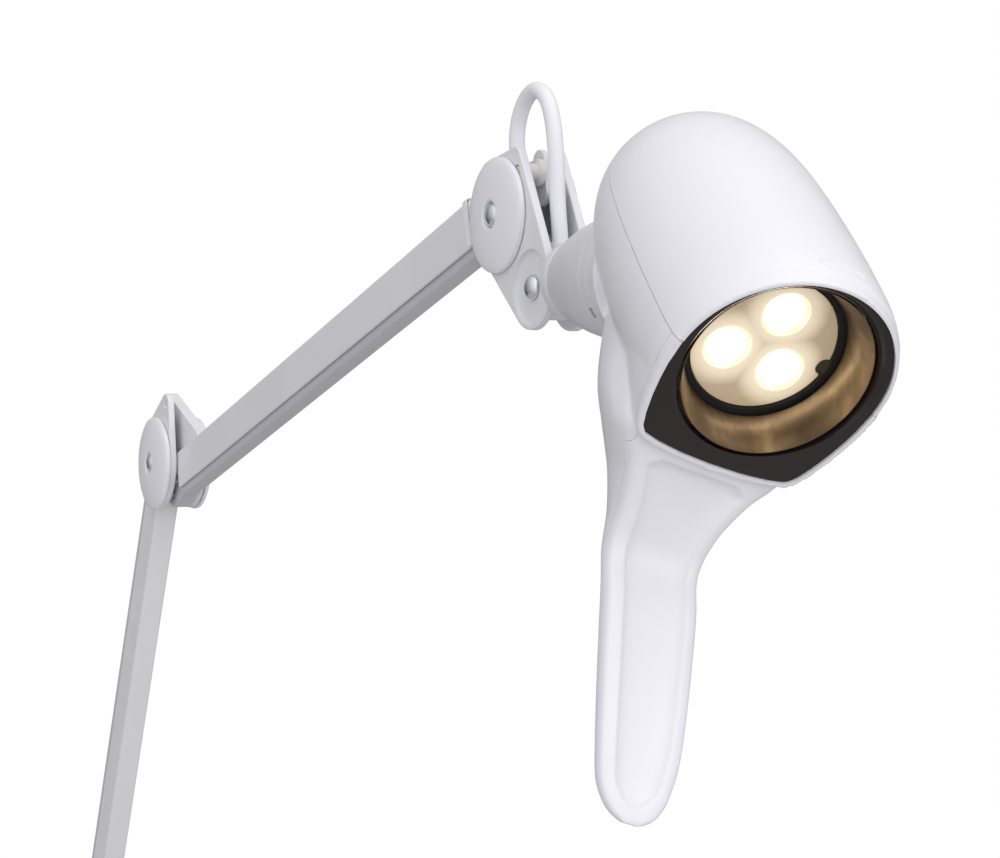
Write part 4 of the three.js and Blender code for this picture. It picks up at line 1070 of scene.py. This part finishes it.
def lens_material(centres):
    """Moulded optic, lit from behind: three bright cups with darker rims on a warm frosted plate."""
    n = Nodes("lit_lens")
    nearest = None
    for c in centres:
        gap = n.add("ShaderNodeVectorMath", operation="DISTANCE")
        n.link(n.position, gap.inputs[0])
        gap.inputs[1].default_value = tuple(c)
        if nearest is None:
            nearest = gap.outputs["Value"]
        else:
            least = n.add("ShaderNodeMath", operation="MINIMUM")
            n.link(nearest, least.inputs[0])
            n.link(gap.outputs["Value"], least.inputs[1])
            nearest = least.outputs[0]
    wave = n.add("ShaderNodeMath", operation="MULTIPLY_ADD")
    n.link(n.noise(160, 3), wave.inputs[0])
    wave.inputs[1].default_value = 0.0012
    n.link(nearest, wave.inputs[2])
    reach = n.add("ShaderNodeMapRange", From_Min=0.0, From_Max=0.016, To_Min=0.0, To_Max=1.0)
    n.link(wave.outputs[0], reach.inputs["Value"])
    glow = n.ramp(reach.outputs["Result"], [
        (0.0, (1.0, 0.99, 0.93)), (0.34, (1.0, 0.97, 0.87)), (0.43, (1.0, 0.90, 0.68)),
        (0.50, (0.86, 0.70, 0.46)), (0.58, (0.74, 0.62, 0.44)), (0.68, (0.74, 0.64, 0.48)),
        (0.82, (0.66, 0.54, 0.38)), (1.0, (0.52, 0.40, 0.26)),
    ])
    greys = [(0.0, 1), (0.36, 0.85), (0.44, 0.30), (0.52, 0.12), (0.64, 0.085), (0.8, 0.075), (1.0, 0.05)]
    power = n.ramp(reach.outputs["Result"], [(place, (grey, grey, grey)) for place, grey in greys])
    strength = n.add("ShaderNodeMath", operation="MULTIPLY")
    n.link(power, strength.inputs[0])
    strength.inputs[1].default_value = 7.0
    frost = n.bump(n.noise(700, 3), 0.00005, 0.35)
    rub = n.spread(n.noise(300, 3), 0.12, 0.3)
    return n.set(Base_Color=glow, Roughness=rub, Normal=frost, Emission_Color=glow,
                 Emission_Strength=strength.outputs[0], Coat_Weight=0.6, Coat_Roughness=0.06)


def make_button():
    rear = 88.4
    profile = [(0, rear - 1.15), (2.6, rear - 1.35), (4.6, rear - 1.25), (5.3, rear - 0.8), (5.75, rear),
               (5.8, rear + 0.6), (5.8, rear + 11), (8, rear + 11), (8, rear + 12.4), (0, rear + 12.4)]
    new_piece("power_key", *lathe(profile, "X", 72), BUTTON, "button_grey", "power_button", sharp=35)


def on_can(angle, z, rise=0.0):
    """A point of the hood's surface, in the can's frame: angle from the ridge, z back from the face."""
    radius = float(np.interp(z, [p[1] for p in CAN_PROFILE], [p[0] for p in CAN_PROFILE])) + rise
    return Vector((radius * math.cos(angle), radius * math.sin(angle), z))


def make_badge():
    """Raised oval ring on the hood, left blank inside."""
    verts, faces = [], []
    around, bands = 96, [(-0.55, -0.15), (-0.42, 0.16), (0, 0.26), (0.42, 0.16), (0.55, -0.15)]
    for k in range(around):
        a = 2 * math.pi * k / around
        for offset, rise in bands:
            along = (BADGE["length"] / 2 + offset) * math.cos(a)
            across = (BADGE["width"] / 2 + offset) * math.sin(a)
            verts.append(tuple(on_can(BADGE["angle"] + along / BADGE["bend"], BADGE["z"] + across, rise)))
    size = len(bands)
    for k in range(around):
        n = (k + 1) % around
        for b in range(size - 1):
            faces.append([k * size + b, k * size + b + 1, n * size + b + 1, n * size + b])
        faces.append([k * size + size - 1, k * size, n * size, n * size + size - 1])
    new_piece("hood_badge", verts, faces, CAN, "white_plastic", body="head", slot="white_plastic", sharp=60,
              weighted=False)


BADGE = {"angle": -0.02, "z": 5.2, "length": 18.0, "width": 4.6, "bend": 42.2}


make_base()
make_arms()
make_elbow()
make_fork()
make_neck()
make_cable()
make_shells()
make_bezel()
make_optics()
make_button()
make_badge()
